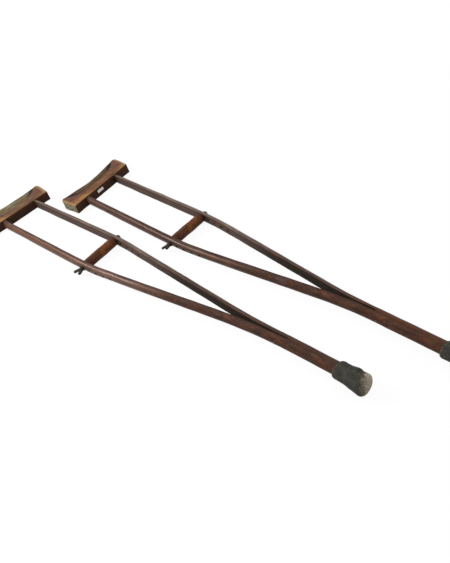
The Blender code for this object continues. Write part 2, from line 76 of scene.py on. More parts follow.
# Staff and bows
TIP_DISTANCE = 1.234
SHAFT_RADIUS = 0.0155
HALF_KERF = 0.00125
BOW_GAP_AT_REST = 0.0976
BOW_GAP_AT_GRIP = 0.100
BOW_TOP_THICKNESS = 0.0137
BOW_THICKNESS = 0.0152
BOW_DEPTH = 0.0254
BOW_ROUNDING = 2.2
SHOULDER_START = 0.352
DEPTH_GROWTH_START = 0.450
ARRIS_WEAR = 0.0010
KERF_ARRIS = 0.0003
KERF_ARRIS_LENGTH = 0.09
MORTISE_DEPTH = 0.022
WOOD_CLEARANCE = 0.0003
STAFF_DENTS = (0.0005, (0.045, 0.012, 0.012))
OUTLINE_STEPS = 32
ROUND_POINTS = 22
STRAIGHT_SPACING = 0.012
BEND_SPACING = 0.008
FORK_SPACING = 0.004
FORK_LENGTH = 0.02
TENON_SPACING = 0.01
SAWN_EDGE = (0.0003, 0.0014)
SHARP_ANGLE = math.radians(42)

# Where dents fade out beside the fittings: nearest and furthest distance
GRIP_MARGIN = (0.018, 0.045)
REST_MARGIN = (0.004, 0.05)
RIVET_MARGIN = (0.006, 0.03)
RIM_MARGIN = (0.002, 0.04)

# Arm rest
REST_HALF_LENGTH = 0.100
REST_HALF_THICKNESS = 0.0143
REST_LEAN = 0.017
HORN_HEIGHT = 0.063
HORN_ARRIS = 0.002
HORN_LAND = 0.010
HORN_CORNER_RADIUS = 0.012
HORN_ROUNDING = 6.0
WAIST_SIDE = 0.025
SCALLOP_STEEPNESS = 3.4
NEAR_SWELL = 0.0026
SWELL_MIDDLE = -0.035
SWELL_WIDTH = 0.040
DROOP_RANGE = (0.064, 0.088)
GROWTH_RANGE = (0.050, 0.100)
REST_ARRIS = 0.0010
REST_END_ARRIS = 0.0015
SADDLE_STEP = 0.0006
# Painted shade beside the horns: its height above the scallop, where that height rises and where the shade
# ends, its fade and least height
HORN_SHADE_HEIGHT = 0.020
HORN_SHADE_RISE = (0.45, 0.78)
HORN_SHADE_END = (0.85, 0.94)
HORN_SHADE_FADE = 0.6
LEAST_HORN_SHADE = 0.0001
REST_DENTS = (0.0006, (0.022, 0.030, 0.016))
ARCH_STEPS = 240
ARCH_POINTS = 43
STEP_FADE = 12
SCALLOP_MARGIN = 0.001
FLAT_POINTS = 9
CORNER_SPACING = 0.0007
SADDLE_STATIONS = 30
END_STATIONS = 7
WEAR_STEPS = 5

# Hand grip, bolt, washers and wing nut
GRIP_DISTANCE = 0.3716
GRIP_DIAMETER = 0.0262
GRIP_END_DIAMETER = 0.0250
GRIP_ARRIS = 0.0022
GRIP_DENTS = (0.0006, (0.020, 0.012, 0.012))
GRIP_DENT_FADE = 0.01
GRIP_SPACING = 0.003
GRIP_STEPS = 56
BOLT_RADIUS = 0.0032
BOLT_HEAD_RADIUS = 0.00675
BOLT_HEAD_HEIGHT = 0.0048
BOLT_PROTRUSION = 0.0038
BOLT_CHAMFER = 0.0008
BOLT_DENTS = (0.0004, (0.003, 0.003, 0.003))
BOLT_DENT_RISE = 0.001
BOLT_STEPS = 36
BOLT_DOME_STEPS = 12
SHANK_SPACING = 0.01
THREAD_PITCH = 0.00127
THREAD_DEPTH = 0.0005
THREAD_LENGTH = 0.016
THREAD_STEPS = 8
HOLE_CLEARANCE = 0.0004
METAL_CLEARANCE = 0.0003
GRIP_HOLE_COUNT = 5
GRIP_HOLE_PITCH = 0.0264
SEAT_DEPTH = 0.0018
WASHER_RADIUS = 0.00775
WASHER_THICKNESS = 0.0014
WASHER_ARRIS = 0.0004
WASHER_STEPS = 48
RING_WEAR_STEPS = 4
NUT_BASE_RADIUS = 0.0065
NUT_TOP_RADIUS = 0.0050
NUT_HEIGHT = 0.0100
NUT_CAST_DETAIL = 0.00045
NUT_SMOOTHING = (0.5, 5)
WING_SPAN = 0.0284
WING_RISE = 0.0175
WING_EAR_RADIUS = 0.0041
WING_ROOT_RADIUS = 0.0034
WING_THICKNESS = 0.0046
WING_EAR_STEPS = 16

# Rivet by the end of the saw cut
RIVET_DISTANCE = 0.992
RIVET_RADIUS = 0.00225
RIVET_HEAD_RADIUS = 0.0046
RIVET_HEAD_HEIGHT = 0.0026
RIVET_HEAD_STEPS = 10
RIVET_TAIL_RADIUS = 0.0031
RIVET_TAIL_HEIGHT = 0.0016
RIVET_TAIL_STEPS = 8
RIVET_SEAT_DEPTH = 0.0014
RIVET_DENTS = (0.0005, (0.0022, 0.0022, 0.0022))
RIVET_DENT_RISE = 0.0008
ROVE_THICKNESS = 0.0012
ROVE_ARRIS = 0.0003

# Ferrule
FERRULE_LENGTH = 0.076
FERRULE_FLOOR = 0.013
SOCKET_CLEARANCE = 0.0005
SOCKET_LEAD = 0.0003
RIM_DISTANCE = TIP_DISTANCE - FERRULE_LENGTH
RIM_TILT = 0.0026
RIM_TILT_LENGTH = 0.030
FOLD_DIRECTION = math.radians(35)
FOLD_FADE = 1.2
CREASE_TURN = 0.25
CREASE_DEPTH = 0.0012
CREASE_DISTANCE = 0.0545
CREASE_WIDTH = 0.0014
LUMP_HEIGHT = 0.0007
LUMP_LENGTH = 0.016
LUMPS_AROUND = 1.6
LUMP_START = (0.001, 0.006)
TREAD_WEAR = 0.0009
TREAD_WEAR_LENGTH = 0.011
TREAD_EDGE = 0.0005
SOCKET_SKIN = 0.0001
FOOT_MARGIN = 0.004
RIM_LENGTH = 0.006
SKIN_SPACINGS = (0.0006, 0.0015, 0.0007)
FERRULE_STEPS = 96

# Distance from the rim, radius on the calm side and radius where the rubber has folded
FERRULE_SHAPE = (
    (0.0, 0.0176, 0.0176), (0.0012, 0.0198, 0.0198), (0.0045, 0.0208, 0.0207), (0.018, 0.0208, 0.0207),
    (0.028, 0.0211, 0.0212), (0.034, 0.0215, 0.0226), (0.040, 0.0220, 0.0240), (0.045, 0.0223, 0.0252),
    (0.050, 0.0226, 0.0252), (0.0525, 0.0228, 0.0242), (0.0550, 0.0231, 0.0232), (0.060, 0.0237, 0.0238),
    (0.066, 0.0245, 0.0245), (0.0700, 0.0248, 0.0248), (0.0730, 0.0242, 0.0242), (0.0750, 0.0226, 0.0226),
    (0.0760, 0.0200, 0.0200),
)

# Paper label on the rear arm rest's underside
LABEL_MIDDLE = (-0.0074, 0.0022)
LABEL_SIZE = (0.0210, 0.0088)
LABEL_THICKNESS = 0.00025
LABEL_GAP = 0.0004
LABEL_SLANT = 0.0004
LABEL_CORNER_LIFT = 0.0007
LABEL_WAVE = 0.00015
LABEL_FLAT_SHARE = 0.45
LABEL_GRID = (24, 10)

# How strongly a surface has to bend, in 1 over metres, for a full mark of wear
STAFF_BEND = 700.0
REST_BEND = 600.0
GRIP_BEND = 700.0
METAL_BEND = 2000.0
NUT_BEND = 1500.0
FERRULE_BEND = 500.0
LABEL_BEND = 3000.0

# The photographer's camera, in the rear crutch's own frame
CAMERA_TARGET = (0.60376, -0.09147, 0.0005)
CAMERA_DISTANCE = 2.0823
CAMERA_PITCH = 40.82
CAMERA_HEADING = 149.07
CAMERA_ROLL = 20.73
FOCAL_PIXELS = 884.4
FRAME_HEIGHT_PIXELS = 563

# Studio
FLOOR_SIZE = 60.0
FLOOR_GLOW = 0.93
KEY_DIRECTION = (-0.67, -0.40, 0.60)
KEY_DISTANCE = 2.4
KEY_SIZE = (0.62, 0.44)
KEY_POWER = 34.0
SKY_DIRECTION = (0.10, -0.15, 0.98)
SKY_BRIGHT = 1.10
SKY_DARK = 0.25


# Frames of the two crutches, read from the joints

def joint(name):
    return next(entry for entry in frame["joints"] if entry["name"] == name)


def crutch_frame(label):
    """The crutch's own frame: x from the rest's underside to the foot, y across the bows, z up."""
    grip_turn = joint(f"{label}_grip_turn")
    along = Vector(joint(f"{label}_ferrule_pull")["axis"])
    across = -Vector(grip_turn["axis"])
    origin = Vector(grip_turn["pos_m"]) - along * GRIP_DISTANCE
    axes = Matrix((along, across, along.cross(across))).transposed().to_4x4()
    return Matrix.Translation(origin) @ axes


CRUTCH = {label: crutch_frame(label) for label in CRUTCHES}


# Solids

def smooth_share(x, start, end):
    """0 before start, 1 after end and an S curve between them."""
    share = min(max((x - start) / (end - start), 0.0), 1.0)
    return share * share * (3 - 2 * share)


def between(first, second, share):
    return first + (second - first) * share


def bell(x, middle, width):
    return math.exp(-((x - middle) / width) ** 2)


def superellipse_power(value, rounding):
    return math.copysign(abs(value) ** (2 / rounding), value)


def spaced(start, end, spacing):
    count = max(round((end - start) / spacing), 1)
    return [start + (end - start) * i / count for i in range(count + 1)]


def part_of_line(points, start, end, count):
    """Evenly spaced points of a line, leaving out a length at its start and one at its end."""
    lengths = [0.0]
    for first, second in zip(points, points[1:]):
        lengths.append(lengths[-1] + math.dist(first, second))
    places = np.linspace(start, lengths[-1] - end, count)
    columns = [np.interp(places, lengths, column) for column in zip(*points)]
    return [tuple(float(value) for value in point) for point in zip(*columns)]


def worn_corner(before, corner, after, steps=WEAR_STEPS):
    """The points between two runs whose corner has worn round."""
    shares = [i / steps for i in range(1, steps)]
    weights = [((1 - share) ** 2, 2 * share * (1 - share), share ** 2) for share in shares]
    return [tuple(point) for point in np.dot(weights, (before, corner, after))]


def bridge_rows(bm, rows):
    """Skin neighbouring closed rows of vertices with quads."""
    for row, following in zip(rows, rows[1:]):
        for i in range(len(row)):
            j = (i + 1) % len(row)
            bm.faces.new((row[i], row[j], following[j], following[i]))


def loft(sections):
    """A closed solid through a list of closed sections of equal length."""
    bm = bmesh.new()
    rows = [[bm.verts.new(point) for point in section] for section in sections]
    bridge_rows(bm, rows)
    bm.faces.new(rows[0])
    bm.faces.new(rows[-1])
    return bm


def turned(profile, steps=ROUND_STEPS, bored=False, swell=None):
    """Revolve (x, radius) points about the X axis.

    A solid profile starts and ends on the axis, a bored one is a closed loop
    clear of it. swell(x, radius, angle) gives the radius where it isn't round.
    """
    bm = bmesh.new()
    rings = []
    for x, radius in profile:
        ring = []
        for i in range(steps):
            angle = math.tau * i / steps
            reach = swell(x, radius, angle) if swell and radius > 0 else radius
            ring.append(bm.verts.new((x, reach * math.cos(angle), reach * math.sin(angle))))
        rings.append(ring)
    if bored:
        rings.append(rings[0])
    bridge_rows(bm, rings)
    bmesh.ops.remove_doubles(bm, verts=bm.verts, dist=1e-7)
    return bm


def add_cylinder(bm, start, end, radius, steps=ROUND_STEPS):
    start, end = Vector(start), Vector(end)
    along = end - start
    turn = along.to_track_quat("Z", "Y").to_matrix().to_4x4()
    bmesh.ops.create_cone(bm, cap_ends=True, segments=steps, radius1=radius, radius2=radius,
                          depth=along.length, matrix=Matrix.Translation((start + end) / 2) @ turn)


def roughen(bm, dents, keep=lambda place: 1.0):
    """Push the surface in and out by a smooth random amount, none where keep gives 0."""
    depth, wave = dents
    bmesh.ops.recalc_face_normals(bm, faces=bm.faces)
    bm.normal_update()
    moves = []
    for vertex in bm.verts:
        place = Vector(vertex.co[i] / wave[i] for i in range(3))
        moves.append(vertex.normal * (noise.noise(place) * depth * keep(vertex.co)))
    for vertex, move in zip(bm.verts, moves):
        vertex.co += move


def solid(name, bm):
    bmesh.ops.recalc_face_normals(bm, faces=bm.faces)
    mesh = bpy.data.meshes.new(name)
    bm.to_mesh(mesh)
    bm.free()
    thing = bpy.data.objects.new(name, mesh)
    bpy.context.scene.collection.objects.link(thing)
    return thing


def settle(thing):
    """Turn an object's modifiers into its mesh."""
    graph = bpy.context.evaluated_depsgraph_get()
    made = bpy.data.meshes.new_from_object(thing.evaluated_get(graph))
    thing.modifiers.clear()
    thing.data = made


def carve(thing, *cutters):
    """Cut other closed meshes out of an object."""
    tools = [solid(f"{thing.name}_cutter", bm) for bm in cutters]
    for tool in tools:
        modifier = thing.modifiers.new("cut", "BOOLEAN")
        modifier.solver = "EXACT"
        modifier.object = tool
    settle(thing)
    for tool in tools:
        bpy.data.objects.remove(tool, do_unlink=True)


def cross_cutters(positions, middle, reach, hole_radius, seat, seat_radius, seat_steps=ROUND_STEPS):
    """Cutters for holes across the staff, and for a spot face on each side round the first of them."""
    holes, seats = bmesh.new(), bmesh.new()
    for x in positions:
        add_cylinder(holes, (x, middle - reach, 0), (x, middle + reach, 0), hole_radius)
    x = positions[0]
    for side in SIDES:
        face, outside = (x, middle + side * seat, 0), (x, middle + side * reach, 0)
        add_cylinder(seats, face, outside, seat_radius, seat_steps)
    return holes, seats


# Numbers that a piece's mesh keeps for its material

def store(mesh, names, rows):
    """Keep named numbers for each vertex, given as one row a vertex."""
    for name, column in zip(names, np.array(rows, dtype=np.float32).T):
        layer = mesh.attributes.new(name, "FLOAT", "POINT")
        layer.data.foreach_set("value", np.ascontiguousarray(column))


def read_rows(collection, name, width, kind=np.float32):
    numbers = np.empty(len(collection) * width, dtype=kind)
    collection.foreach_get(name, numbers)
    return numbers.reshape(-1, width)


def record_bends(mesh, full_bend):
    """Store how strongly the surface bends outwards (edge) and inwards (hollow) at each vertex."""
    places = read_rows(mesh.vertices, "co", 3)
    normals = read_rows(mesh.vertex_normals, "vector", 3)
    first, second = read_rows(mesh.edges, "vertices", 2, np.int32).T
    ways = ((first, second), (second, first))
    bends, joined = np.zeros((2, len(places)))
    for here, there in ways:
        step = places[here] - places[there]
        length = np.maximum((step ** 2).sum(axis=1), 1e-10)
        np.add.at(bends, here, 2 * (step * normals[here]).sum(axis=1) / length)
        np.add.at(joined, here, 1)
    bends = np.clip(bends / np.maximum(joined, 1) / full_bend, -1, 1)
    for _ in range(2):
        total = bends * joined
        for here, there in ways:
            np.add.at(total, here, bends[there])
        bends = total / np.maximum(2 * joined, 1)
    store(mesh, ("edge", "hollow"), np.clip((bends, -bends), 0, 1).T)


# Where the staff and its bows run

def half_gap(x, staff):
    """Half the clear space between the bows at a distance below the rest."""
    fork_bend, shoulder_bend = staff["fork_bend"], staff["shoulder_bend"]
    rise = BOW_GAP_AT_GRIP / 2 - HALF_KERF
    run = staff["fork"] - SHOULDER_START
    slope = rise / (run - (fork_bend + shoulder_bend) / 2)
    from_fork = max(staff["fork"] - x, 0.0)
    if from_fork <= fork_bend:
        return HALF_KERF + slope * from_fork ** 2 / (2 * fork_bend)
    if x > SHOULDER_START:
        straight = HALF_KERF + slope * (from_fork - fork_bend / 2)
        bend = max(SHOULDER_START + shoulder_bend - x, 0.0)
        return straight - slope * bend ** 2 / (2 * shoulder_bend)
    return between(BOW_GAP_AT_REST, BOW_GAP_AT_GRIP, smooth_share(x, 0.0, SHOULDER_START)) / 2


def middle_offset(x, staff):
    """How far the staff has warped to the far side, back in line at the ferrule."""
    fork = staff["fork"]
    if x > fork:
        return staff["fork_offset"] * max(RIM_DISTANCE - x, 0.0) / (RIM_DISTANCE - fork)
    warp_start, warp_end = GRIP_DISTANCE + GRIP_DIAMETER, fork - staff["fork_bend"] / 2
    return staff["fork_offset"] * smooth_share(x, warp_start, warp_end)


def bow_outline(x, staff, grow=0.0):
    """A bow's rounded outside as (outward, up) points, from its upper arris to its lower one."""
    to_shaft = smooth_share(x, DEPTH_GROWTH_START, staff["fork"])
    half_depth = BOW_DEPTH / 2 + grow
    thickness = between(BOW_TOP_THICKNESS, BOW_THICKNESS, smooth_share(x, 0.0, SHOULDER_START)) + 2 * grow
    shaft_arris = math.acos(HALF_KERF / SHAFT_RADIUS)
    points = []
    for i in range(OUTLINE_STEPS + 1):
        share = 1 - 2 * i / OUTLINE_STEPS
        angle = share * math.pi / 2
        bow_out = thickness * superellipse_power(max(math.cos(angle), 0.0), BOW_ROUNDING)
        bow_up = half_depth * superellipse_power(math.sin(angle), BOW_ROUNDING)
        shaft_out = SHAFT_RADIUS * math.cos(share * shaft_arris) - HALF_KERF
        shaft_up = SHAFT_RADIUS * math.sin(share * shaft_arris)
        outward = half_gap(x, staff) - grow + between(bow_out, shaft_out, to_shaft)
        points.append((outward, between(bow_up, shaft_up, to_shaft)))
    return points


def bow_section(x, staff, side, grow=0.0):
    """A bow's closed section: the rounded outside, then the flat sawn face, with worn arrises."""
    outline = bow_outline(x, staff, grow)
    arris = between(KERF_ARRIS, ARRIS_WEAR, smooth_share(staff["fork"] - x, 0.0, KERF_ARRIS_LENGTH))
    outside = part_of_line(outline, arris, arris, ROUND_POINTS)
    top, bottom = outline[0], outline[-1]
    upper, lower = (top[0], top[1] - arris), (bottom[0], bottom[1] + arris)
    points = outside + worn_corner(outside[-1], bottom, lower)
    points += part_of_line([lower, upper], 0.0, 0.0, 6)
    points += worn_corner(upper, top, outside[0])
    return [(x, middle_offset(x, staff) + side * outward, up) for outward, up in points]


def bow_end(side, skew):
    """Where a bow ends inside the arm rest."""
    middle = BOW_GAP_AT_REST / 2 + BOW_TOP_THICKNESS / 2
    return -side * middle * math.tan(math.radians(skew)) - MORTISE_DEPTH


def seat_plane():
    return BOW_GAP_AT_GRIP / 2 + BOW_THICKNESS - SEAT_DEPTH


def rivet_seat(staff):
    return half_gap(RIVET_DISTANCE, staff) + SHAFT_RADIUS - HALF_KERF - RIVET_SEAT_DEPTH


# Staff

def staff_solid(staff):
    """Both bows from their ends to the end of the saw cut, then the round shaft."""
    bm = bmesh.new()
    fork, fork_start = staff["fork"], staff["fork"] - FORK_LENGTH
    ends = []
    for side in SIDES:
        stations = spaced(bow_end(side, staff["rest_skew"]), SHOULDER_START, STRAIGHT_SPACING)
        stations += spaced(SHOULDER_START, fork_start, BEND_SPACING)[1:]
        stations += spaced(fork_start, fork, FORK_SPACING)[1:]
        rows = [[bm.verts.new(point) for point in bow_section(x, staff, side)] for x in stations]
        bridge_rows(bm, rows)
        bm.faces.new(rows[0])
        ends.append(rows[-1])
    near, far = ends
    inner_near, inner_far = (row[ROUND_POINTS - 1:] + row[:1] for row in ends)
    bm.faces.new(inner_near + inner_far[::-1])

    rings = [near[:ROUND_POINTS] + far[:ROUND_POINTS][::-1]]
    stations = spaced(fork, RIM_DISTANCE, BEND_SPACING)[1:]
    stations += spaced(RIM_DISTANCE, TIP_DISTANCE - FERRULE_FLOOR, TENON_SPACING)[1:]
    stations[-1] -= WOOD_CLEARANCE
    for x in stations:
        halves = [bow_section(x, staff, side)[:ROUND_POINTS] for side in SIDES]
        rings.append([bm.verts.new(point) for point in halves[0] + halves[1][::-1]])
    bridge_rows(bm, rings)
    bm.faces.new(rings[-1])
    return bm


def clear_of_fittings(place):
    """0 where the grip, washers, rivet, mortises and ferrule need a true surface, 1 elsewhere."""
    x = place.x
    clear = smooth_share(abs(x - GRIP_DISTANCE), *GRIP_MARGIN) * smooth_share(x, *REST_MARGIN)
    clear *= smooth_share(abs(x - RIVET_DISTANCE), *RIVET_MARGIN)
    return clear * smooth_share(RIM_DISTANCE - x, *RIM_MARGIN)


def staff_marks(place, staff):
    """How sawn the face is, and the distance out from the sawn plane, below 0 on the near bow."""
    offset = place.y - middle_offset(place.x, staff)
    outward = abs(offset) - half_gap(place.x, staff)
    sawn = 0.0 if place.x > staff["fork"] else 1 - smooth_share(outward, *SAWN_EDGE)
    return sawn, math.copysign(outward, offset)


def build_staff(label, staff):
    bm = staff_solid(staff)
    roughen(bm, STAFF_DENTS, clear_of_fittings)
    piece = solid(f"{label}_worn_staff", bm)
    grip_holes = [GRIP_DISTANCE + i * GRIP_HOLE_PITCH for i in range(GRIP_HOLE_COUNT)]
    bolt_cutters = cross_cutters(grip_holes, 0.0, BOW_GAP_AT_GRIP / 2 + 2 * BOW_THICKNESS,
                                 BOLT_RADIUS + HOLE_CLEARANCE, seat_plane(),
                                 WASHER_RADIUS + HOLE_CLEARANCE, WASHER_STEPS)
    rivet_cutters = cross_cutters([RIVET_DISTANCE], middle_offset(RIVET_DISTANCE, staff), 2 * SHAFT_RADIUS,
                                  RIVET_RADIUS + METAL_CLEARANCE, rivet_seat(staff),
                                  RIVET_HEAD_RADIUS + HOLE_CLEARANCE)
    carve(piece, *bolt_cutters, *rivet_cutters)
    marks = [staff_marks(vertex.co, staff) for vertex in piece.data.vertices]
    store(piece.data, ("sawn", "outward"), marks)
    finish_piece(piece, label, "crutch", "staff", "staff_wood", STAFF_BEND)


# Arm rest

def scallop_share(y):
    """0 in the middle of the saddle, 1 where it meets the horns."""
    return min(abs(y) / (REST_HALF_LENGTH - HORN_LAND), 1.0)


def horn_drop(y, values):
    """How far the outline falls short of the full height, at the corners and along a low far horn."""
    into_corner = max(abs(y) - (REST_HALF_LENGTH - HORN_CORNER_RADIUS), 0.0)
    corner_rise = math.sqrt(max(HORN_CORNER_RADIUS ** 2 - into_corner ** 2, 0.0))
    return HORN_CORNER_RADIUS - corner_rise + values["far_droop"] * smooth_share(y, *DROOP_RANGE)


def side_height(y, values):
    """How high the flat face reaches, up to the scallop's edge."""
    scallop = between(WAIST_SIDE, HORN_HEIGHT - HORN_ARRIS, scallop_share(y) ** SCALLOP_STEEPNESS)
    return scallop - horn_drop(y, values)


def crest_height(y, values):
    """The saddle's height along its middle, a little fuller on the near side."""
    crest = between(values["waist_crest"], HORN_HEIGHT, smooth_share(scallop_share(y), 0.0, 1.0))
    return crest - horn_drop(y, values) + NEAR_SWELL * bell(y, SWELL_MIDDLE, SWELL_WIDTH)


def saddle_arch(y, values):
    """The saddle across the rest as (x, z), from the lower face's scallop to the upper one's."""
    half, side, crest = REST_HALF_THICKNESS, side_height(y, values), crest_height(y, values)
    step = SADDLE_STEP * (1 - scallop_share(y) ** STEP_FADE)
    rounding = between(values["waist_rounding"], HORN_ROUNDING, scallop_share(y))
    arch = []
    for i in range(ARCH_STEPS + 1):
        angle = math.pi * i / ARCH_STEPS
        across = half * superellipse_power(math.cos(angle), rounding)
        rise = (crest - side) * superellipse_power(max(math.sin(angle), 0.0), rounding)
        into_saddle = smooth_share(rise, 0.0, 2 * SADDLE_STEP)
        arch.append((-(side + rise), -across * (1 - step / half * into_saddle)))
    saddle = [arch[0]] + part_of_line(arch, SADDLE_STEP, SADDLE_STEP, ARCH_POINTS) + [arch[-1]]
    saddle.insert(2, tuple((a + b) / 2 for a, b in zip(saddle[1], saddle[2])))
    saddle.insert(-2, tuple((a + b) / 2 for a, b in zip(saddle[-2], saddle[-3])))
    return saddle


def rest_section(y, values):
    """Section across the rest as (x, z): lower face, saddle, upper face and underside."""
    half, arris, side = REST_HALF_THICKNESS, REST_ARRIS, side_height(y, values)
    points = part_of_line([(-arris, -half), (-side, -half)], 0.0, SCALLOP_MARGIN, FLAT_POINTS)
    points += saddle_arch(y, values)
    points += part_of_line([(-side, half), (-arris, half)], SCALLOP_MARGIN, 0.0, FLAT_POINTS)
    points += worn_corner((-arris, half), (0.0, half), (0.0, half - arris))
    points += part_of_line([(0.0, half - arris), (0.0, arris - half)], 0.0, 0.0, FLAT_POINTS)
    return points + worn_corner((0.0, arris - half), (0.0, -half), (-arris, -half))


def rest_stations():
    """Distances from the rest's middle to its end, each with how far the section draws in there."""
    edge, end = REST_HALF_LENGTH - HORN_LAND, REST_HALF_LENGTH - REST_END_ARRIS
    quarter = math.pi / 2
    stations = [(edge * math.sin(quarter * i / SADDLE_STATIONS), 0.0) for i in range(SADDLE_STATIONS + 1)]
    stations += [(y, 0.0) for y in spaced(edge, end, CORNER_SPACING)[1:]]
    for i in range(1, END_STATIONS + 1):
        angle = quarter * i / END_STATIONS
        stations.append((end + REST_END_ARRIS * math.sin(angle), REST_END_ARRIS * (1 - math.cos(angle))))
    return stations


def rest_row(y, inset, values):
    """A section, drawn in on all sides near the ends so that the end faces' edges are worn too."""
    middle = -HORN_HEIGHT / 2
    lengthwise = 1 - 2 * inset / HORN_HEIGHT
    thickness = 1 - inset / REST_HALF_THICKNESS
    return [(middle + (x - middle) * lengthwise, y, z * thickness) for x, z in rest_section(y, values)]


def lean_and_flare(bm, values):
    """Spread the horns, and let the rest grow taller to its near end, as it was carved."""
    for vertex in bm.verts:
        height_share = -vertex.co.x / HORN_HEIGHT
        growth = values["far_growth"] * smooth_share(vertex.co.y, *GROWTH_RANGE)
        vertex.co.x += REST_LEAN * vertex.co.y * height_share
        vertex.co.y = vertex.co.y * (1 + values["rest_flare"] * height_share) + growth


def set_on_bows(values):
    """The arm rest's place: shifted sideways, then turned askew."""
    shift = Matrix.Translation((0.0, values["rest_shift"], 0.0))
    return Matrix.Rotation(math.radians(values["rest_skew"]), 4, "Z") @ shift


def uncarved_place(place, values):
    """Where a point of the finished rest was in the straight block it was carved from."""
    leaning = set_on_bows(values).inverted() @ place
    block = leaning.copy()
    for _ in range(4):
        growth = values["far_growth"] * smooth_share(block.y, *GROWTH_RANGE)
        block.y = (leaning.y - growth) / (1 - values["rest_flare"] * block.x / HORN_HEIGHT)
        block.x = leaning.x / (1 - REST_LEAN * block.y / HORN_HEIGHT)
    return block


def rest_marks(place, values):
    """Shares of saddle and of painted shade beside the horns, and the point's place in the uncarved block."""
    block = uncarved_place(place, values)
    share = scallop_share(block.y)
    above_scallop = -block.x - side_height(block.y, values)
    on_horn = abs(block.y) > REST_HALF_LENGTH - HORN_LAND / 2
    saddle = 0.0 if on_horn else smooth_share(above_scallop, 0.0, SADDLE_STEP)
    height = HORN_SHADE_HEIGHT * smooth_share(share, *HORN_SHADE_RISE) + LEAST_HORN_SHADE
    # Painted shade, fading out with height above the scallop's edge
    horn_shade = 1 - smooth_share(above_scallop, HORN_SHADE_FADE * height, height)
    return saddle, saddle * horn_shade * (1 - smooth_share(share, *HORN_SHADE_END)), block.x, block.y


def build_arm_rest(label, values):
    half = rest_stations()
    rows = [rest_row(-y, inset, values) for y, inset in reversed(half[1:])]
    bm = loft(rows + [rest_row(y, inset, values) for y, inset in half])
    roughen(bm, REST_DENTS)
    lean_and_flare(bm, values)
    bmesh.ops.transform(bm, matrix=set_on_bows(values), verts=bm.verts)
    piece = solid(f"{label}_carved_arm_rest", bm)
    mortises = []
    for side in SIDES:
        ends = (bow_end(side, values["rest_skew"]) - WOOD_CLEARANCE, HORN_HEIGHT)
        section = bow_section(0.0, values, side, WOOD_CLEARANCE)
        mortises.append(loft([[(x, y, z) for _, y, z in section] for x in ends]))
    carve(piece, *mortises)
    marks = [rest_marks(vertex.co, values) for vertex in piece.data.vertices]
    store(piece.data, ("saddle", "recess_shade", "rest_x", "rest_y"), marks)
    finish_piece(piece, label, "crutch", "arm_rest", "arm_rest_wood", REST_BEND)


# Hand grip, bolt, washers and wing nut, turned about X and then stood across the bows

ON_BOLT = Matrix.Translation((GRIP_DISTANCE, 0, 0)) @ Matrix.Rotation(math.pi / 2, 4, "Z")


def build_hand_grip(label, values):
    half_length = half_gap(GRIP_DISTANCE + GRIP_DIAMETER / 2, values) - WOOD_CLEARANCE
    end_radius, swell = GRIP_END_DIAMETER / 2, (GRIP_DIAMETER - GRIP_END_DIAMETER) / 2
    body = half_length - GRIP_ARRIS
    side = [(x, end_radius + swell * (1 - (x / body) ** 2)) for x in spaced(-body, body, GRIP_SPACING)]
    end_face = (-half_length, end_radius - GRIP_ARRIS)
    near_end = [(-half_length, BOLT_RADIUS + HOLE_CLEARANCE), end_face]
    near_end += worn_corner(end_face, (-half_length, end_radius), side[0])
    far_end = [(-x, radius) for x, radius in reversed(near_end)]
    bm = turned(near_end + side + far_end, GRIP_STEPS, bored=True)
    roughen(bm, GRIP_DENTS, lambda place: smooth_share(body - abs(place.x), 0.0, GRIP_DENT_FADE))
    piece = solid(f"{label}_turned_grip", bm)
    finish_piece(piece, label, "grip", "hand_grip", "grip_wood", GRIP_BEND, ON_BOLT)


def dome(base, height, radius, steps, outward=1):
    """Profile points of a domed head, from its rim to its crown on the axis."""
    points = []
    for i in range(steps):
        angle = math.pi / 2 * i / steps
        points.append((base + outward * height * math.sin(angle), radius * math.cos(angle)))
    return points + [(base + outward * height, 0.0)]


def nut_base():
    return seat_plane() + METAL_CLEARANCE + WASHER_THICKNESS + METAL_CLEARANCE


def build_bolt(label):
    head = nut_base()
    end = -(head + NUT_HEIGHT + BOLT_PROTRUSION)
    thread_end = end + THREAD_LENGTH
    profile = [(end, 0.0), (end, BOLT_RADIUS - BOLT_CHAMFER)]
    thread = spaced(end + BOLT_CHAMFER / 2, thread_end, THREAD_PITCH / THREAD_STEPS)
    profile += [(x, BOLT_RADIUS) for x in thread + spaced(thread_end, head, SHANK_SPACING)[1:]]
    profile += dome(head, BOLT_HEAD_HEIGHT, BOLT_HEAD_RADIUS, BOLT_DOME_STEPS)

    def threaded(x, radius, angle):
        """The radius with its thread, which runs out towards the head."""
        turn = (x / THREAD_PITCH - angle / math.tau) % 1.0
        fade = 1 - smooth_share(x, thread_end - THREAD_PITCH, thread_end)
        return radius - THREAD_DEPTH * abs(2 * turn - 1) * fade

    bm = turned(profile, BOLT_STEPS, swell=threaded)
    roughen(bm, BOLT_DENTS, lambda place: smooth_share(place.x, head, head + BOLT_DENT_RISE))
    piece = solid(f"{label}_threaded_bolt", bm)
    finish_piece(piece, label, "crutch", "grip_bolt", "iron", METAL_BEND, ON_BOLT)


def ring_profile(near_face, far_face, inner, outer, arris):
    """A flat ring's section with its outer edges worn."""
    way = math.copysign(arris, far_face - near_face)
    near_rim, far_rim = (near_face, outer - arris), (far_face, outer - arris)
    near_side, far_side = (near_face + way, outer), (far_face - way, outer)
    near_edge = worn_corner(near_rim, (near_face, outer), near_side, RING_WEAR_STEPS)
    far_edge = worn_corner(far_side, (far_face, outer), far_rim, RING_WEAR_STEPS)
    rim = [near_rim, *near_edge, near_side, far_side, *far_edge, far_rim]
    return [(near_face, inner), *rim, (far_face, inner)]


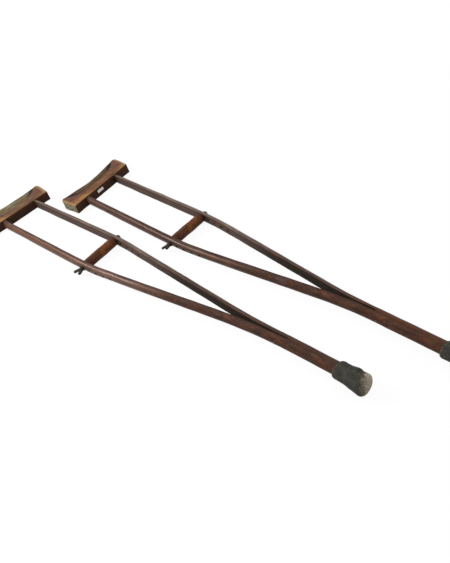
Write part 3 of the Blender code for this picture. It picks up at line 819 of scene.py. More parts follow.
def build_washers(label):
    for name, body, outward in (("head_washer", "crutch", 1), ("nut_washer", "nut_seat", -1)):
        seat = seat_plane() + METAL_CLEARANCE
        profile = ring_profile(outward * seat, outward * (seat + WASHER_THICKNESS),
                               BOLT_RADIUS + METAL_CLEARANCE, WASHER_RADIUS, WASHER_ARRIS)
        piece = solid(f"{label}_stamped_{name}", turned(profile, WASHER_STEPS, bored=True))
        finish_piece(piece, label, body, name, "iron", METAL_BEND, ON_BOLT)


def arc(centre, radius, start, end, steps):
    """Points on an arc, from one angle to another in degrees."""
    angles = [math.radians(start + (end - start) * i / steps) for i in range(steps + 1)]
    return [(centre[0] + radius * math.cos(angle), centre[1] + radius * math.sin(angle)) for angle in angles]


def ear_outline():
    """Outer tangent outline of a small circle at the hub and a bigger one at the tip."""
    root = (WING_ROOT_RADIUS, WING_ROOT_RADIUS)
    tip = (WING_SPAN / 2 - WING_EAR_RADIUS, WING_RISE)
    away = math.degrees(math.atan2(tip[1] - root[1], tip[0] - root[0]))
    lean = math.degrees(math.asin((WING_EAR_RADIUS - WING_ROOT_RADIUS) / math.dist(root, tip)))
    spread = 90 + lean
    outline = arc(tip, WING_EAR_RADIUS, away - spread, away + spread, WING_EAR_STEPS)
    return outline + arc(root, WING_ROOT_RADIUS, away + spread, away + 360 - spread, WING_EAR_STEPS // 2)


def build_wing_nut(label, values):
    """A cast hub and two ears, melted together and smoothed, then bored."""
    base, top = -nut_base(), -nut_base() - NUT_HEIGHT
    casting = turned([(base, 0.0), (base, NUT_BASE_RADIUS), (top, NUT_TOP_RADIUS), (top, 0.0)])
    for side in SIDES:
        rows = []
        for z in (-WING_THICKNESS / 2, WING_THICKNESS / 2):
            rows.append([casting.verts.new((base - rise, side * reach, z)) for reach, rise in ear_outline()])
        bridge_rows(casting, rows)
        for row in rows:
            casting.faces.new(row)
    piece = solid(f"{label}_cast_wing_nut", casting)
    melt = piece.modifiers.new("melt", "REMESH")
    melt.mode = "VOXEL"
    melt.voxel_size = NUT_CAST_DETAIL
    smooth = piece.modifiers.new("smooth", "SMOOTH")
    smooth.factor, smooth.iterations = NUT_SMOOTHING
    settle(piece)
    piece.data.transform(Matrix.Rotation(math.radians(values["nut_turn"]), 4, "X"))
    bore = bmesh.new()
    add_cylinder(bore, (base * 2, 0, 0), (0, 0, 0), BOLT_RADIUS + METAL_CLEARANCE)
    carve(piece, bore)
    finish_piece(piece, label, "nut", "wing_nut", "iron", NUT_BEND, ON_BOLT)


# Rivet and rove

def build_rivet(label, staff):
    across = Matrix.Translation((RIVET_DISTANCE, middle_offset(RIVET_DISTANCE, staff), 0))
    across @= Matrix.Rotation(-math.pi / 2, 4, "Z")
    head = rivet_seat(staff) + METAL_CLEARANCE
    tail = head + ROVE_THICKNESS + METAL_CLEARANCE
    profile = dome(-tail, RIVET_TAIL_HEIGHT, RIVET_TAIL_RADIUS, RIVET_TAIL_STEPS, outward=-1)[::-1]
    profile += [(-tail, RIVET_RADIUS), (head, RIVET_RADIUS)]
    bm = turned(profile + dome(head, RIVET_HEAD_HEIGHT, RIVET_HEAD_RADIUS, RIVET_HEAD_STEPS))
    roughen(bm, RIVET_DENTS, lambda place: smooth_share(abs(place.x), head, head + RIVET_DENT_RISE))
    piece = solid(f"{label}_hammered_rivet", bm)
    finish_piece(piece, label, "crutch", "fork_rivet", "iron", METAL_BEND, across)

    rove_face, bore = -head - ROVE_THICKNESS, RIVET_RADIUS + METAL_CLEARANCE
    profile = ring_profile(-head, rove_face, bore, RIVET_HEAD_RADIUS, ROVE_ARRIS)
    piece = solid(f"{label}_pressed_rove", turned(profile, bored=True))
    finish_piece(piece, label, "crutch", "rivet_rove", "iron", METAL_BEND, across)


# Rubber ferrule

def ferrule_radius(x, share, angle):
    """A share of the outer skin's radius, with its fold, lumps and a crease in front of the foot."""
    distances, calm, folded = zip(*FERRULE_SHAPE)
    fold = max(math.cos(angle - FOLD_DIRECTION), 0.0) ** FOLD_FADE
    reach = between(np.interp(x, distances, calm), np.interp(x, distances, folded), fold)
    creased = max(math.cos(angle - FOLD_DIRECTION - CREASE_TURN), 0.0) ** 2
    crease = CREASE_DEPTH * bell(x, CREASE_DISTANCE, CREASE_WIDTH) * creased
    around = Vector((x / LUMP_LENGTH, math.cos(angle) * LUMPS_AROUND, math.sin(angle) * LUMPS_AROUND))
    return reach * share + LUMP_HEIGHT * noise.noise(around) * smooth_share(x, *LUMP_START) - crease


def build_ferrule(label, values):
    """The skin leans to the near side towards the foot, the socket stays true."""
    socket, socket_end = SHAFT_RADIUS + SOCKET_CLEARANCE, FERRULE_LENGTH - FERRULE_FLOOR
    foot_start = socket_end + FOOT_MARGIN
    turns = (0.0, RIM_LENGTH, foot_start, FERRULE_LENGTH)
    skin = [0.0]
    for start, end, spacing in zip(turns, turns[1:], SKIN_SPACINGS):
        skin += spaced(start, end, spacing)[1:]
    profile = [(socket_end, 0.0), (socket_end, socket), (socket_end / 2, socket), (SOCKET_LEAD, socket)]
    # From here on the radius is a share of the skin's
    profile += [(x, 1.0) for x in skin]
    profile += [(FERRULE_LENGTH, tenths / 10) for tenths in range(9, -1, -1)]

    def swell(x, radius, angle):
        in_socket = radius == socket and x < foot_start
        return radius if in_socket else ferrule_radius(x, radius, angle)

    bm = turned(profile, FERRULE_STEPS, swell=swell)
    for vertex in bm.verts:
        x, y, z = vertex.co
        far_and_up = (y * math.cos(FOLD_DIRECTION) + z * math.sin(FOLD_DIRECTION)) / SHAFT_RADIUS
        if math.hypot(y, z) > socket + SOCKET_SKIN or x > socket_end + SOCKET_SKIN:
            vertex.co.y -= values["foot_lean"] * x / FERRULE_LENGTH
        vertex.co.x += RIM_TILT * far_and_up * smooth_share(x, RIM_TILT_LENGTH, 0.0)
        if x > FERRULE_LENGTH - TREAD_EDGE:
            tread = Vector((y / TREAD_WEAR_LENGTH, z / TREAD_WEAR_LENGTH, 0.3))
            vertex.co.x -= TREAD_WEAR * (noise.noise(tread) + 0.5)
    piece = solid(f"{label}_worn_ferrule", bm)
    on_shaft = Matrix.Translation((RIM_DISTANCE, 0, 0))
    finish_piece(piece, label, "foot", "ferrule", "ferrule_rubber", FERRULE_BEND, on_shaft)


# Paper label

def build_label():
    """A small blank paper label, its corners a little lifted."""
    bm = bmesh.new()
    bmesh.ops.create_grid(bm, x_segments=LABEL_GRID[0], y_segments=LABEL_GRID[1], size=0.5)
    skew = math.tan(math.radians(CRUTCHES["rear"]["rest_skew"]))
    for vertex in bm.verts:
        u, v = vertex.co.x * 2, vertex.co.y * 2
        y = LABEL_MIDDLE[0] + u * LABEL_SIZE[0] / 2 - LABEL_SLANT * v
        z = LABEL_MIDDLE[1] + v * LABEL_SIZE[1] / 2
        lift = LABEL_CORNER_LIFT * max(abs(u) * abs(v) - LABEL_FLAT_SHARE, 0.0)
        lift += LABEL_WAVE * (1 + noise.noise(Vector((u * 2, v * 2, 0))))
        vertex.co = (-y * skew + LABEL_GAP + lift, y, z)
    piece = solid("rear_paper_label", bm)
    piece.modifiers.new("thickness", "SOLIDIFY").thickness = LABEL_THICKNESS
    settle(piece)
    finish_piece(piece, "rear", "crutch", None, "paper", LABEL_BEND)


# Shader helpers

class Value:
    """What a shader node puts out. Arithmetic on it adds the nodes that work it out."""

    def __init__(self, socket):
        self.socket = socket
        self.tree = socket.id_data

    def __add__(self, other):
        return calc("ADD", self, other)

    def __sub__(self, other):
        return calc("SUBTRACT", self, other)

    def __rsub__(self, other):
        return calc("SUBTRACT", other, self)

    def __mul__(self, other):
        return calc("MULTIPLY", self, other)

    def __abs__(self):
        return calc("ABSOLUTE", self)


def feed(socket, value):
    """Link a value into a socket, or set the socket to a plain number or colour."""
    if isinstance(value, Value):
        value.tree.links.new(value.socket, socket)
    else:
        socket.default_value = value


def add_node(tree, kind, inputs, **settings):
    node = tree.nodes.new(kind)
    for name, setting in settings.items():
        setattr(node, name, setting)
    for name, value in inputs.items():
        feed(node.inputs[name], value)
    return node


def tree_of(inputs):
    return next(value.tree for value in inputs.values() if isinstance(value, Value))


def new_value(kind, inputs, output=0, **settings):
    """What a new node puts out, in the tree that its inputs come from."""
    return Value(add_node(tree_of(inputs), kind, inputs, **settings).outputs[output])


def calc(operation, *values):
    return new_value("ShaderNodeMath", dict(enumerate(values)), operation=operation)


def vector_calc(operation, *values, output=0):
    return new_value("ShaderNodeVectorMath", dict(enumerate(values)), output, operation=operation)


def ease(value, low, high):
    """0 below low, 1 above high and an S curve between; low may be the greater."""
    inputs = {"Value": value, "From Min": low, "From Max": high}
    return new_value("ShaderNodeMapRange", inputs, interpolation_type="SMOOTHSTEP")


def linear(colour):
    """A colour of 0 to 255 values, as screens show it, turned into linear light."""
    if isinstance(colour, Value) or len(colour) == 4:
        return colour
    shares = [level / 255 for level in colour]
    light = [share / 12.92 if share <= 0.04045 else ((share + 0.055) / 1.055) ** 2.4 for share in shares]
    return (*light, 1.0)


def mix(share, first, second):
    """Mix two colours, where share 0 is the first and 1 the second."""
    inputs = {0: share, 6: linear(first), 7: linear(second)}
    return new_value("ShaderNodeMix", inputs, 2, data_type="RGBA")


def paint(colour, *layers):
    """Lay tones over a colour, one after the other, each with the share at which it covers."""
    for share, tone in layers:
        colour = mix(share, colour, tone)
    return colour


def cloud(place, scale, detail=4.0, roughness=0.5, distortion=0.0):
    """Noise from 0 to 1, with scale given in waves a metre, for all axes or for each."""
    waves = scale if isinstance(scale, tuple) else (scale, scale, scale)
    inputs = {"Vector": vector_calc("MULTIPLY", place, waves), "Scale": 1.0,
              "Detail": detail, "Roughness": roughness, "Distortion": distortion}
    return new_value("ShaderNodeTexNoise", inputs)


def split(place):
    node = add_node(place.tree, "ShaderNodeSeparateXYZ", {"Vector": place})
    return [Value(output) for output in node.outputs]


def join(x, y, z):
    return new_value("ShaderNodeCombineXYZ", {0: x, 1: y, 2: z})


def mark(tree, name):
    """A number that a piece's mesh keeps for each vertex."""
    return Value(add_node(tree, "ShaderNodeAttribute", {}, attribute_name=name).outputs["Fac"])


def new_group(name, places, numbers, effect):
    """A shader group: effect takes its inputs, places before numbers, and gives its outputs by name."""
    group = bpy.data.node_groups.new(name, "ShaderNodeTree")
    for kind, labels in (("Vector", places), ("Float", numbers)):
        for label in labels:
            group.interface.new_socket(name=label, in_out="INPUT", socket_type=f"NodeSocket{kind}")
    given = group.nodes.new("NodeGroupInput").outputs
    results = effect(*(Value(given[label]) for label in places + numbers))
    for label in results:
        group.interface.new_socket(name=label, in_out="OUTPUT", socket_type="NodeSocketFloat")
    sink = group.nodes.new("NodeGroupOutput")
    for label, value in results.items():
        feed(sink.inputs[label], value)
    return group


def use_group(group, **inputs):
    """A group's outputs in their order, with its inputs given by name."""
    node = add_node(tree_of(inputs), "ShaderNodeGroup", inputs, node_tree=group)
    return [Value(output) for output in node.outputs]


# Effects that several materials share

def wood_grain(place):
    """Streaks, open pores and slow changes of tone in wood whose grain runs along x."""
    bands = cloud(place, (22.0, 150.0, 150.0), detail=5.0, roughness=0.6, distortion=0.5)
    streaks = cloud(place, (14.0, 230.0, 230.0), detail=5.0, roughness=0.6, distortion=0.6)
    fine = cloud(place, (60.0, 1100.0, 1100.0), detail=3.0, roughness=0.6)
    pores = ease(fine, 0.58, 0.70)
    both = streaks * 0.7 + fine * 0.3
    return {"Streaks": ease(both, 0.34, 0.66), "Pores": pores, "Bands": ease(bands, 0.34, 0.66),
            "Height": both - pores * 0.5}


def knocks(place, size):
    """Rubbed patches, scratches and dents of long use."""
    place = vector_calc("DIVIDE", place, size)
    patches = cloud(place, (0.6, 1.0, 1.0), detail=5.0, roughness=0.65)
    dents = cloud(place, 1.6, detail=2.0)
    lines = cloud(place, (1.2, 12.0, 7.0), detail=3.0, roughness=0.7, distortion=1.5)
    scratches = ease(lines, 0.60, 0.70) * ease(patches, 0.40, 0.60)
    height = patches * 0.3 - ease(dents, 0.60, 0.78) - scratches * 0.4
    return {"Rubbed": ease(patches, 0.48, 0.66), "Scratches": scratches, "Height": height}


def edge_wear(place, edge, amount):
    """Where edges have lost their finish: strong on the edge and ragged beside it."""
    ragged = cloud(place, (90.0, 260.0, 260.0), roughness=0.7)
    lift = edge + (ragged - 0.5) * 0.9
    worn = ease(lift - (0.95 - amount * 0.8), 0.0, 0.30)
    return {"Worn": worn * ease(edge, 0.03, 0.20)}


def patch(place, centre, reach):
    """A ragged, speckled mark round one place, Reach giving its half sizes."""
    share = vector_calc("DIVIDE", vector_calc("SUBTRACT", place, centre), reach)
    ragged = cloud(place, (140.0, 420.0, 420.0), roughness=0.65)
    edge = vector_calc("LENGTH", share, output="Value") + (ragged - 0.5) * 1.6
    flecks = cloud(place, (130.0, 420.0, 420.0), roughness=0.7)
    return {"Mask": ease(edge, 1.3, 0.4) * ease(flecks, 0.42, 0.58)}


WOOD_GRAIN = new_group("wood grain", ["Place"], [], wood_grain)
KNOCKS = new_group("knocks", ["Place"], ["Size"], knocks)
EDGE_WEAR = new_group("edge wear", ["Place"], ["Edge", "Amount"], edge_wear)
PATCH = new_group("patch", ["Place", "Centre", "Reach"], [], patch)


def new_material(name):
    material = bpy.data.materials.new(name)
    material.use_nodes = True
    return material, material.node_tree, material.node_tree.nodes["Principled BSDF"]


def from_frame(place, location, rotation):
    """A place as it lies in another frame."""
    inputs = {"Vector": place, "Location": location, "Rotation": rotation}
    return new_value("ShaderNodeMapping", inputs, vector_type="TEXTURE")


def crutch_place(tree, label):
    """Where a surface point is in its crutch's own frame. It rides with the piece."""
    row_place = Value(tree.nodes.new("ShaderNodeTexCoord").outputs["Object"])
    return from_frame(row_place, CRUTCH[label].translation, CRUTCH[label].to_euler())


def grain_across(place):
    """The wood grain of a piece that was cut with its grain along y."""
    x, y, z = split(place)
    return use_group(WOOD_GRAIN, Place=join(y, x, z))


def handled(place, size, wear):
    """Rubbed patches, scratches, dents and worn edges, for a size of dent and a degree of wear."""
    worn, = use_group(EDGE_WEAR, Place=place, Edge=mark(place.tree, "edge"), Amount=wear)
    return *use_group(KNOCKS, Place=place, Size=size), worn


def finish_shader(shader, colour, roughness, relief, gloss=0.5, tint=(1.0, 1.0, 1.0, 1.0)):
    """Feed a shader. relief is a height, how much of it shows and its depth in metres."""
    height, strength, depth = relief
    normal = new_value("ShaderNodeBump", {"Height": height, "Strength": strength, "Distance": depth})
    for name, value in (("Base Color", colour), ("Roughness", roughness), ("Normal", normal),
                        ("Specular IOR Level", gloss), ("Specular Tint", tint)):
        feed(shader.inputs[name], value)


# Materials

# The old varnish gives a brown sheen
SHEEN_TINT = (1.0, 0.70, 0.59, 1.0)

# Dark and light streaks of each staff's top, middle and shaft, and the painted light tone of the shaft's
# upper side
STAFF_TONES = {
    "rear": (((42, 25, 17), (84, 55, 42)), ((44, 30, 23), (86, 62, 50)), ((29, 15, 6), (56, 32, 18)),
             (104, 60, 38)),
    "front": (((58, 33, 22), (104, 68, 51)), ((64, 44, 37), (112, 85, 73)), ((23, 13, 6), (48, 30, 18)),
              (84, 58, 44)),
}

# Tones of the marks on the staffs
SCUFFED = (128, 80, 57)
REDDENED = (108, 60, 43)
PALE = (132, 98, 80)
OLIVE = (54, 46, 30)
PURPLE = (88, 75, 79)
GREENISH = (41, 52, 47)

# Marks on the staffs: centre in the crutch's own frame, half sizes, strength and tone
STAFF_MARKS = {
    "rear": (
        ((0.992, -0.006, 0.014), (0.010, 0.005, 0.008), 0.36, SCUFFED),
        ((1.005, -0.003, 0.014), (0.012, 0.004, 0.008), 0.33, SCUFFED),
        ((0.978, -0.014, 0.011), (0.007, 0.005, 0.006), 0.33, PALE),
        ((1.033, -0.007, 0.014), (0.022, 0.007, 0.008), 0.28, REDDENED),
        ((1.050, -0.020, 0.006), (0.020, 0.006, 0.010), 0.28, REDDENED),
        ((1.059, -0.008, 0.014), (0.013, 0.006, 0.008), 0.33, OLIVE),
        ((1.120, -0.002, 0.014), (0.025, 0.007, 0.008), 0.25, REDDENED),
        ((0.434, 0.049, 0.002), (0.011, 0.004, 0.006), 0.70, SCUFFED),
        ((0.726, -0.029, 0.010), (0.012, 0.008, 0.008), 0.60, PURPLE),
        ((0.738, -0.028, 0.009), (0.010, 0.008, 0.008), 0.50, PURPLE),
        ((0.810, -0.026, 0.011), (0.009, 0.005, 0.006), 0.55, PALE),
        ((0.769, 0.014, 0.007), (0.022, 0.006, 0.010), 0.60, GREENISH),
        ((0.855, 0.005, 0.012), (0.014, 0.006, 0.008), 0.60, GREENISH),
        ((0.661, 0.030, 0.012), (0.012, 0.006, 0.006), 0.55, REDDENED),
        ((0.520, -0.052, 0.009), (0.020, 0.006, 0.006), 0.45, SCUFFED),
    ),
    "front": (
        ((0.988, -0.004, 0.014), (0.012, 0.005, 0.008), 0.36, SCUFFED),
        ((0.966, -0.010, 0.012), (0.014, 0.005, 0.008), 0.25, SCUFFED),
        ((0.948, 0.002, 0.014), (0.016, 0.008, 0.008), 0.30, OLIVE),
        ((1.020, -0.010, 0.012), (0.026, 0.006, 0.008), 0.25, REDDENED),
        ((1.060, -0.012, 0.011), (0.020, 0.005, 0.008), 0.25, REDDENED),
        ((1.106, -0.004, 0.014), (0.016, 0.004, 0.008), 0.30, PALE),
        ((0.430, 0.048, 0.003), (0.012, 0.004, 0.006), 0.60, REDDENED),
        ((0.453, 0.047, 0.002), (0.009, 0.004, 0.006), 0.55, REDDENED),
        ((0.480, 0.045, 0.004), (0.012, 0.004, 0.007), 0.60, REDDENED),
        ((0.330, -0.060, 0.008), (0.050, 0.008, 0.007), 0.55, PALE),
        ((0.150, -0.058, 0.004), (0.120, 0.010, 0.006), 0.45, SCUFFED),
        ((0.640, -0.040, 0.009), (0.030, 0.008, 0.007), 0.45, SCUFFED),
    ),
}


def outside_stain_and_light(label, x, outward, place, streaks, bands):
    """The rounded outsides: a greyish far bow, a browner near one and a dark shaft, all mottled, with painted
    light and shade on the shaft.
    """
    *pairs, lit_upper_side = STAFF_TONES[label]
    top, middle, shaft = (mix(streaks, *pair) for pair in pairs)
    near_bow = mix(ease(x, 0.34, 0.44), top, middle)
    near_lower = mix(streaks, (27, 16, 10), (58, 36, 27))
    far_bow = mix(streaks, (64, 49, 41), (126, 104, 90))
    far_lower = mix(streaks, (50, 37, 31), (102, 82, 71))
    far_side = ease(outward, -0.002, 0.002)
    bows = mix(ease(x, 0.52, 0.70), mix(far_side, near_bow, far_bow), mix(far_side, near_lower, far_lower))
    shaft = paint(
        shaft,
        # Painted light on the shaft's upper side
        (ease(outward, -0.007, 0.001) * 0.5, lit_upper_side),
        # Painted shade in a band along the shaft's middle
        (ease(abs(outward + 0.0090), 0.0050, 0.0005) * 0.60, (24, 12, 6)))
    on_shaft = ease(x, 0.86, 1.00)
    near_half = 1.0 - far_side * 0.7
    beyond_holes = near_half * ease(x, 0.50, 0.62) * 0.38
    mottle = cloud(place, (70.0, 170.0, 170.0), detail=5.0, roughness=0.7)
    tones = cloud(place, (50.0, 130.0, 130.0), detail=5.0, roughness=0.65)
    return paint(
        mix(on_shaft, bows, shaft),
        (bands * ease(x, 0.45, 0.80) * near_half * 0.30, (100, 56, 40)),
        (ease(bands, 0.40, 0.10) * 0.40, (34, 26, 19)),
        (ease(mottle, 0.52, 0.66) * (0.30 - on_shaft * 0.14), (112, 76, 56)),
        (ease(mottle, 0.46, 0.34) * 0.35, (44, 36, 28)),
        (beyond_holes * ease(tones, 0.53, 0.62), (110, 60, 36)),
        (beyond_holes * ease(tones, 0.46, 0.36), mix(on_shaft, (78, 66, 70), (40, 32, 18))))


def sawn_faces(x, z, far_side, streaks):
    """The flat faces that the saw left: grimy towards the fork, darker under the far bow's upper arris, with
    painted shade by the grip.
    """
    clean, grimy = mix(streaks, (46, 33, 27), (86, 67, 57)), mix(streaks, (24, 21, 16), (54, 44, 36))
    from_grip = abs(x - (GRIP_DISTANCE + 0.006))
    return paint(
        mix(ease(x, 0.46, 0.66), clean, grimy),
        (ease(z, 0.0070, 0.0095) * far_side * 0.65, (34, 22, 18)),
        # Painted shade beside the grip
        (ease(from_grip, 0.028, 0.014) * 0.75, (26, 18, 13)))


def staff_wood(label):
    """Dark stained ash: greyish bows, a redder shaft, sawn faces grimy towards the fork."""
    material, tree, shader = new_material(f"{label} staff wood")
    plain_place = crutch_place(tree, label)
    x, _, z = split(plain_place)
    outward, sawn = mark(tree, "outward"), mark(tree, "sawn")
    place = join(x, outward, z)
    streaks, pores, bands, grain_height = use_group(WOOD_GRAIN, Place=place)
    rubbed, scratches, dents, worn = handled(place, 0.030, 0.45)
    far_side = ease(outward, -0.002, 0.002)
    arris_shade = ease(abs(outward), 0.0046, 0.0020) * ease(z, 0.006, 0.010)
    on_near = 1.0 - calc("MAXIMUM", far_side, sawn)
    spots = []
    for centre, reach, strength, tone in STAFF_MARKS[label]:
        spot, = use_group(PATCH, Place=plain_place, Centre=centre, Reach=reach)
        spots.append((spot * strength, tone))
    outside = outside_stain_and_light(label, x, outward, place, streaks, bands)
    colour = paint(
        mix(sawn, outside, sawn_faces(x, z, far_side, streaks)),
        # Painted shade where the bows run into the arm rest
        (ease(x, 0.020, 0.002) * 0.65, (26, 17, 12)),
        # Painted shade along the near bow's upper inner arris; the same mask darkens the shaft's top beside
        # the line of the saw cut
        (arris_shade * on_near * 0.75, (40, 28, 21)),
        *spots,
        (rubbed * 0.18, (98, 72, 58)),
        (worn * 0.40, (122, 94, 76)),
        (pores * 0.45, (24, 15, 11)),
        (scratches * 0.35, (30, 20, 15)),
        # Painted shade in the hollows
        (ease(mark(tree, "hollow"), 0.06, 0.32) * 0.95, (9, 6, 5)))
    roughness = streaks * 0.06 + 0.29 + rubbed * 0.08 + ease(x, 0.52, 0.70) * 0.30 + sawn * 0.30
    finish_shader(shader, colour, roughness, (grain_height + dents * 1.5, 0.08, 0.0005), 0.22, SHEEN_TINT)
    return material


def rest_faces(label, x, y, streaks, blotches, smears):
    """The flat faces: brown, purplish on the horns, golden along the edges and rims."""
    tones, far_gold, rim_start = (((74, 46, 31), (116, 80, 57)), 0.55, 0.0950)
    if label == "front":
        tones, far_gold, rim_start = (((66, 46, 33), (106, 80, 60)), 0.25, 0.0925)
    inner_horn = ease(abs(y), 0.050, 0.080) * ease(x, -0.010, -0.026) * ease(abs(y), 0.098, 0.088)
    purple = mix(streaks, (74, 45, 36), (112, 74, 60))
    golden = ease(x + smears * 0.024, -0.012, 0.004) * (ease(blotches, 0.62, 0.40) * 0.55 + 0.45)
    by_ends = ease(y, -0.020, -0.052) * 0.80 + ease(y, 0.064, 0.082) * far_gold + 0.06
    rim = ease(abs(y) + smears * 0.008, rim_start, rim_start + 0.007)
    return paint(
        mix(streaks, *tones),
        (ease(blotches, 0.50, 0.66) * 0.45, (62, 39, 26)),
        (ease(blotches, 0.46, 0.34) * 0.35, (134, 100, 74)),
        (inner_horn * ease(smears, 0.34, 0.50), purple),
        (golden * by_ends, (152, 106, 64)),
        (rim * 0.70, (156, 126, 86)))


def rest_saddle(label, recess_shade, blotches, smears):
    """The hollowed saddle, greyer on the front rest, with painted shade in the recesses beside the horns."""
    if label == "rear":
        worn = mix(ease(smears, 0.25, 0.75), (44, 30, 17), (94, 72, 47))
        # The recess share lays painted shade beside the horns
        return paint(worn, (recess_shade * 0.95, (12, 7, 4)))
    worn = mix(ease(smears, 0.30, 0.70), (72, 57, 35), (116, 102, 70))
    return paint(worn, (ease(blotches, 0.50, 0.62) * 0.6, (94, 96, 90)), (recess_shade * 0.90, (26, 16, 8)))


def rest_end_grain(place, x):
    """The sawn ends: pale speckled rings, browner towards the saddle."""
    rings = cloud(place, (260.0, 60.0, 420.0), detail=3.0)
    spots = cloud(place, (150.0, 40.0, 150.0), detail=3.0)
    return paint(
        mix(ease(rings, 0.36, 0.62), (104, 98, 74), (158, 152, 122)),
        (ease(x, -0.040, -0.058) * 0.6, (150, 124, 78)),
        (ease(spots, 0.54, 0.60) * 0.85, (40, 34, 22)))


def arm_rest_wood(label):
    """Stained block, polished by use: golden worn edges, a dark underside, partly painted shade, and pale end
    grain.
    """
    material, tree, shader = new_material(f"{label} arm rest wood")
    skew = math.radians(CRUTCHES[label]["rest_skew"])
    place = from_frame(crutch_place(tree, label), (0.0, 0.0, 0.0), (0.0, 0.0, skew))
    x, y, z = mark(tree, "rest_x"), mark(tree, "rest_y"), split(place)[2]
    streaks, pores, _, grain_height = grain_across(place)
    rubbed, scratches, dents, worn = handled(place, 0.022, 0.75)
    blotches = cloud(place, (60.0, 34.0, 60.0), roughness=0.6)
    smears = cloud(place, (110.0, 26.0, 110.0), detail=5.0, roughness=0.6, distortion=0.8)
    saddle = mark(tree, "saddle")

    carved = mix(saddle, rest_faces(label, x, y, streaks, blotches, smears),
                 rest_saddle(label, mark(tree, "recess_shade"), blotches, smears))
    scallop_shade = saddle * (1.0 - saddle) * 4.0
    # The underside's dark tone is partly stain and partly painted shade
    underside = paint(
        mix(streaks, (36, 22, 15), (64, 39, 29)),
        (ease(z + smears * 0.010, 0.0075, 0.0145) * 0.50, (78, 46, 20)),
        (ease(abs(y), 0.062, 0.09) * 0.5, (68, 38, 28)))
    end = ease(abs(y), 0.0988, 0.0997) * ease(z + smears * 0.004, 0.0148, 0.0118)
    colour = paint(
        carved,
        # Painted shade along the scallop's edge, where the saddle meets the flat faces
        (scallop_shade * (0.9 if label == "rear" else 0.6), (20, 11, 6)),
        (ease(x, -0.0016, -0.0002), underside),
        (end, rest_end_grain(place, x)),
        (worn * 0.55, (164, 118, 70)),
        (pores * 0.4, (40, 24, 16)),
        (scratches * 0.4, (44, 26, 18)),
        # Painted shade in the hollows
        (mark(tree, "hollow") * 0.8, (18, 12, 10)))
    relief = (grain_height + dents * 2.0, 0.5, 0.0006)
    finish_shader(shader, colour, streaks * 0.15 + 0.42, relief, 0.12, SHEEN_TINT)
    return material


def grip_wood(label):
    """Turned grip, worn orange where the palm goes, with painted shade at its ends where they meet the bows.
    """
    material, tree, shader = new_material(f"{label} grip wood")
    place = crutch_place(tree, label)
    y = split(place)[1]
    streaks, pores, _, grain_height = grain_across(place)
    _, _, dents, worn = handled(place, 0.016, 0.5)
    palm = ease(abs(y - 0.010), 0.036, 0.004)
    patches = ease(cloud(place, (90.0, 55.0, 90.0), roughness=0.6), 0.42, 0.60)
    tones = cloud(place, (150.0, 80.0, 150.0), roughness=0.65)
    black = ease(cloud(place, (240.0, 90.0, 240.0)), 0.56, 0.68)
    colour = paint(
        mix(streaks, (46, 23, 12), (98, 54, 29)),
        (patches * palm * 0.65, (138, 82, 30)),
        (ease(tones, 0.54, 0.64) * 0.45, (122, 54, 38)),
        (ease(tones, 0.45, 0.36) * 0.45, (70, 58, 26)),
        (black * 0.6, (44, 26, 16)),
        # Painted shade at the grip's ends, where they meet the bows
        (ease(abs(y), 0.030, 0.050) * 0.55, (66, 32, 20)),
        (worn * 0.5, (146, 100, 62)),
        (pores * 0.5, (30, 16, 12)))
    finish_shader(shader, colour, streaks * 0.15 + 0.42, (grain_height + dents, 0.5, 0.0005), 0.14)
    return material


def old_iron(label):
    """Blackened iron with brown rust in patches and bare metal on its edges."""
    material, tree, shader = new_material(f"{label} old iron")
    place = crutch_place(tree, label)
    rubbed = use_group(KNOCKS, Place=place, Size=0.005)[0]
    close_up = vector_calc("MULTIPLY", place, (6.0, 6.0, 6.0))
    worn, = use_group(EDGE_WEAR, Place=close_up, Edge=mark(tree, "edge"), Amount=0.35)
    pits = cloud(place, 900.0, roughness=0.6)
    stained = ease(split(place)[0], 0.80, 0.90)
    colour = paint(
        mix(ease(pits, 0.40, 0.65), (30, 28, 26), (68, 63, 57)),
        (rubbed * 0.6, (74, 46, 30)),
        (worn * 0.7, (128, 120, 110)),
        (mark(tree, "hollow") * 0.9, (22, 15, 11)),
        (stained * 0.7, (66, 38, 27)))
    feed(shader.inputs["Metallic"], (0.85 - rubbed * 0.6) * (1.0 - stained * 0.8))
    finish_shader(shader, colour, pits * 0.3 + 0.42, (pits, 0.5, 0.0002))
    return material


def ferrule_rubber(label):
    """Aged rubber: scuffed greenish black sides and a pale worn foot."""
    material, tree, shader = new_material(f"{label} ferrule rubber")
    place = crutch_place(tree, label)
    x, y, _ = split(place)
    rubbed, _, dents, worn = handled(place, 0.012, 0.5)
    speckle = cloud(place, 700.0, roughness=0.7)
    olive = ease(cloud(place, 75.0, roughness=0.6), 0.56, 0.66)
    rim_highlight = ease(x, RIM_DISTANCE + 0.0035, RIM_DISTANCE + 0.0010) * ease(speckle, 0.35, 0.55)
    side = paint(
        mix(ease(speckle, 0.35, 0.65), (14, 14, 12), (58, 56, 49)),
        (rubbed * 0.35, (78, 74, 62)),
        (olive * 0.35, (70, 80, 50)),
        (worn * 0.4, (98, 88, 74)),
        # Painted highlight along the rim's lip
        (rim_highlight * 0.5, (124, 100, 76)),
        # Painted shade in the hollows, the fold's crease most of all
        (mark(tree, "hollow") * 0.9, (14, 14, 12)))
    ragged = cloud(place, (50.0, 260.0, 260.0), detail=5.0, roughness=0.65)
    edge = x + y * 0.28 + (ragged - 0.5) * 0.020
    foot = paint(
        mix(ease(cloud(place, 90.0), 0.30, 0.70), (148, 135, 116), (188, 173, 151)),
        (1.0 - ease(edge, TIP_DISTANCE - 0.0080, TIP_DISTANCE + 0.0020), (92, 84, 72)))
    colour = mix(ease(edge, TIP_DISTANCE - 0.0120, TIP_DISTANCE - 0.0010), side, foot)
    finish_shader(shader, colour, speckle * 0.25 + 0.66, (speckle + dents * 3.0, 0.6, 0.0005), 0.30)
    return material


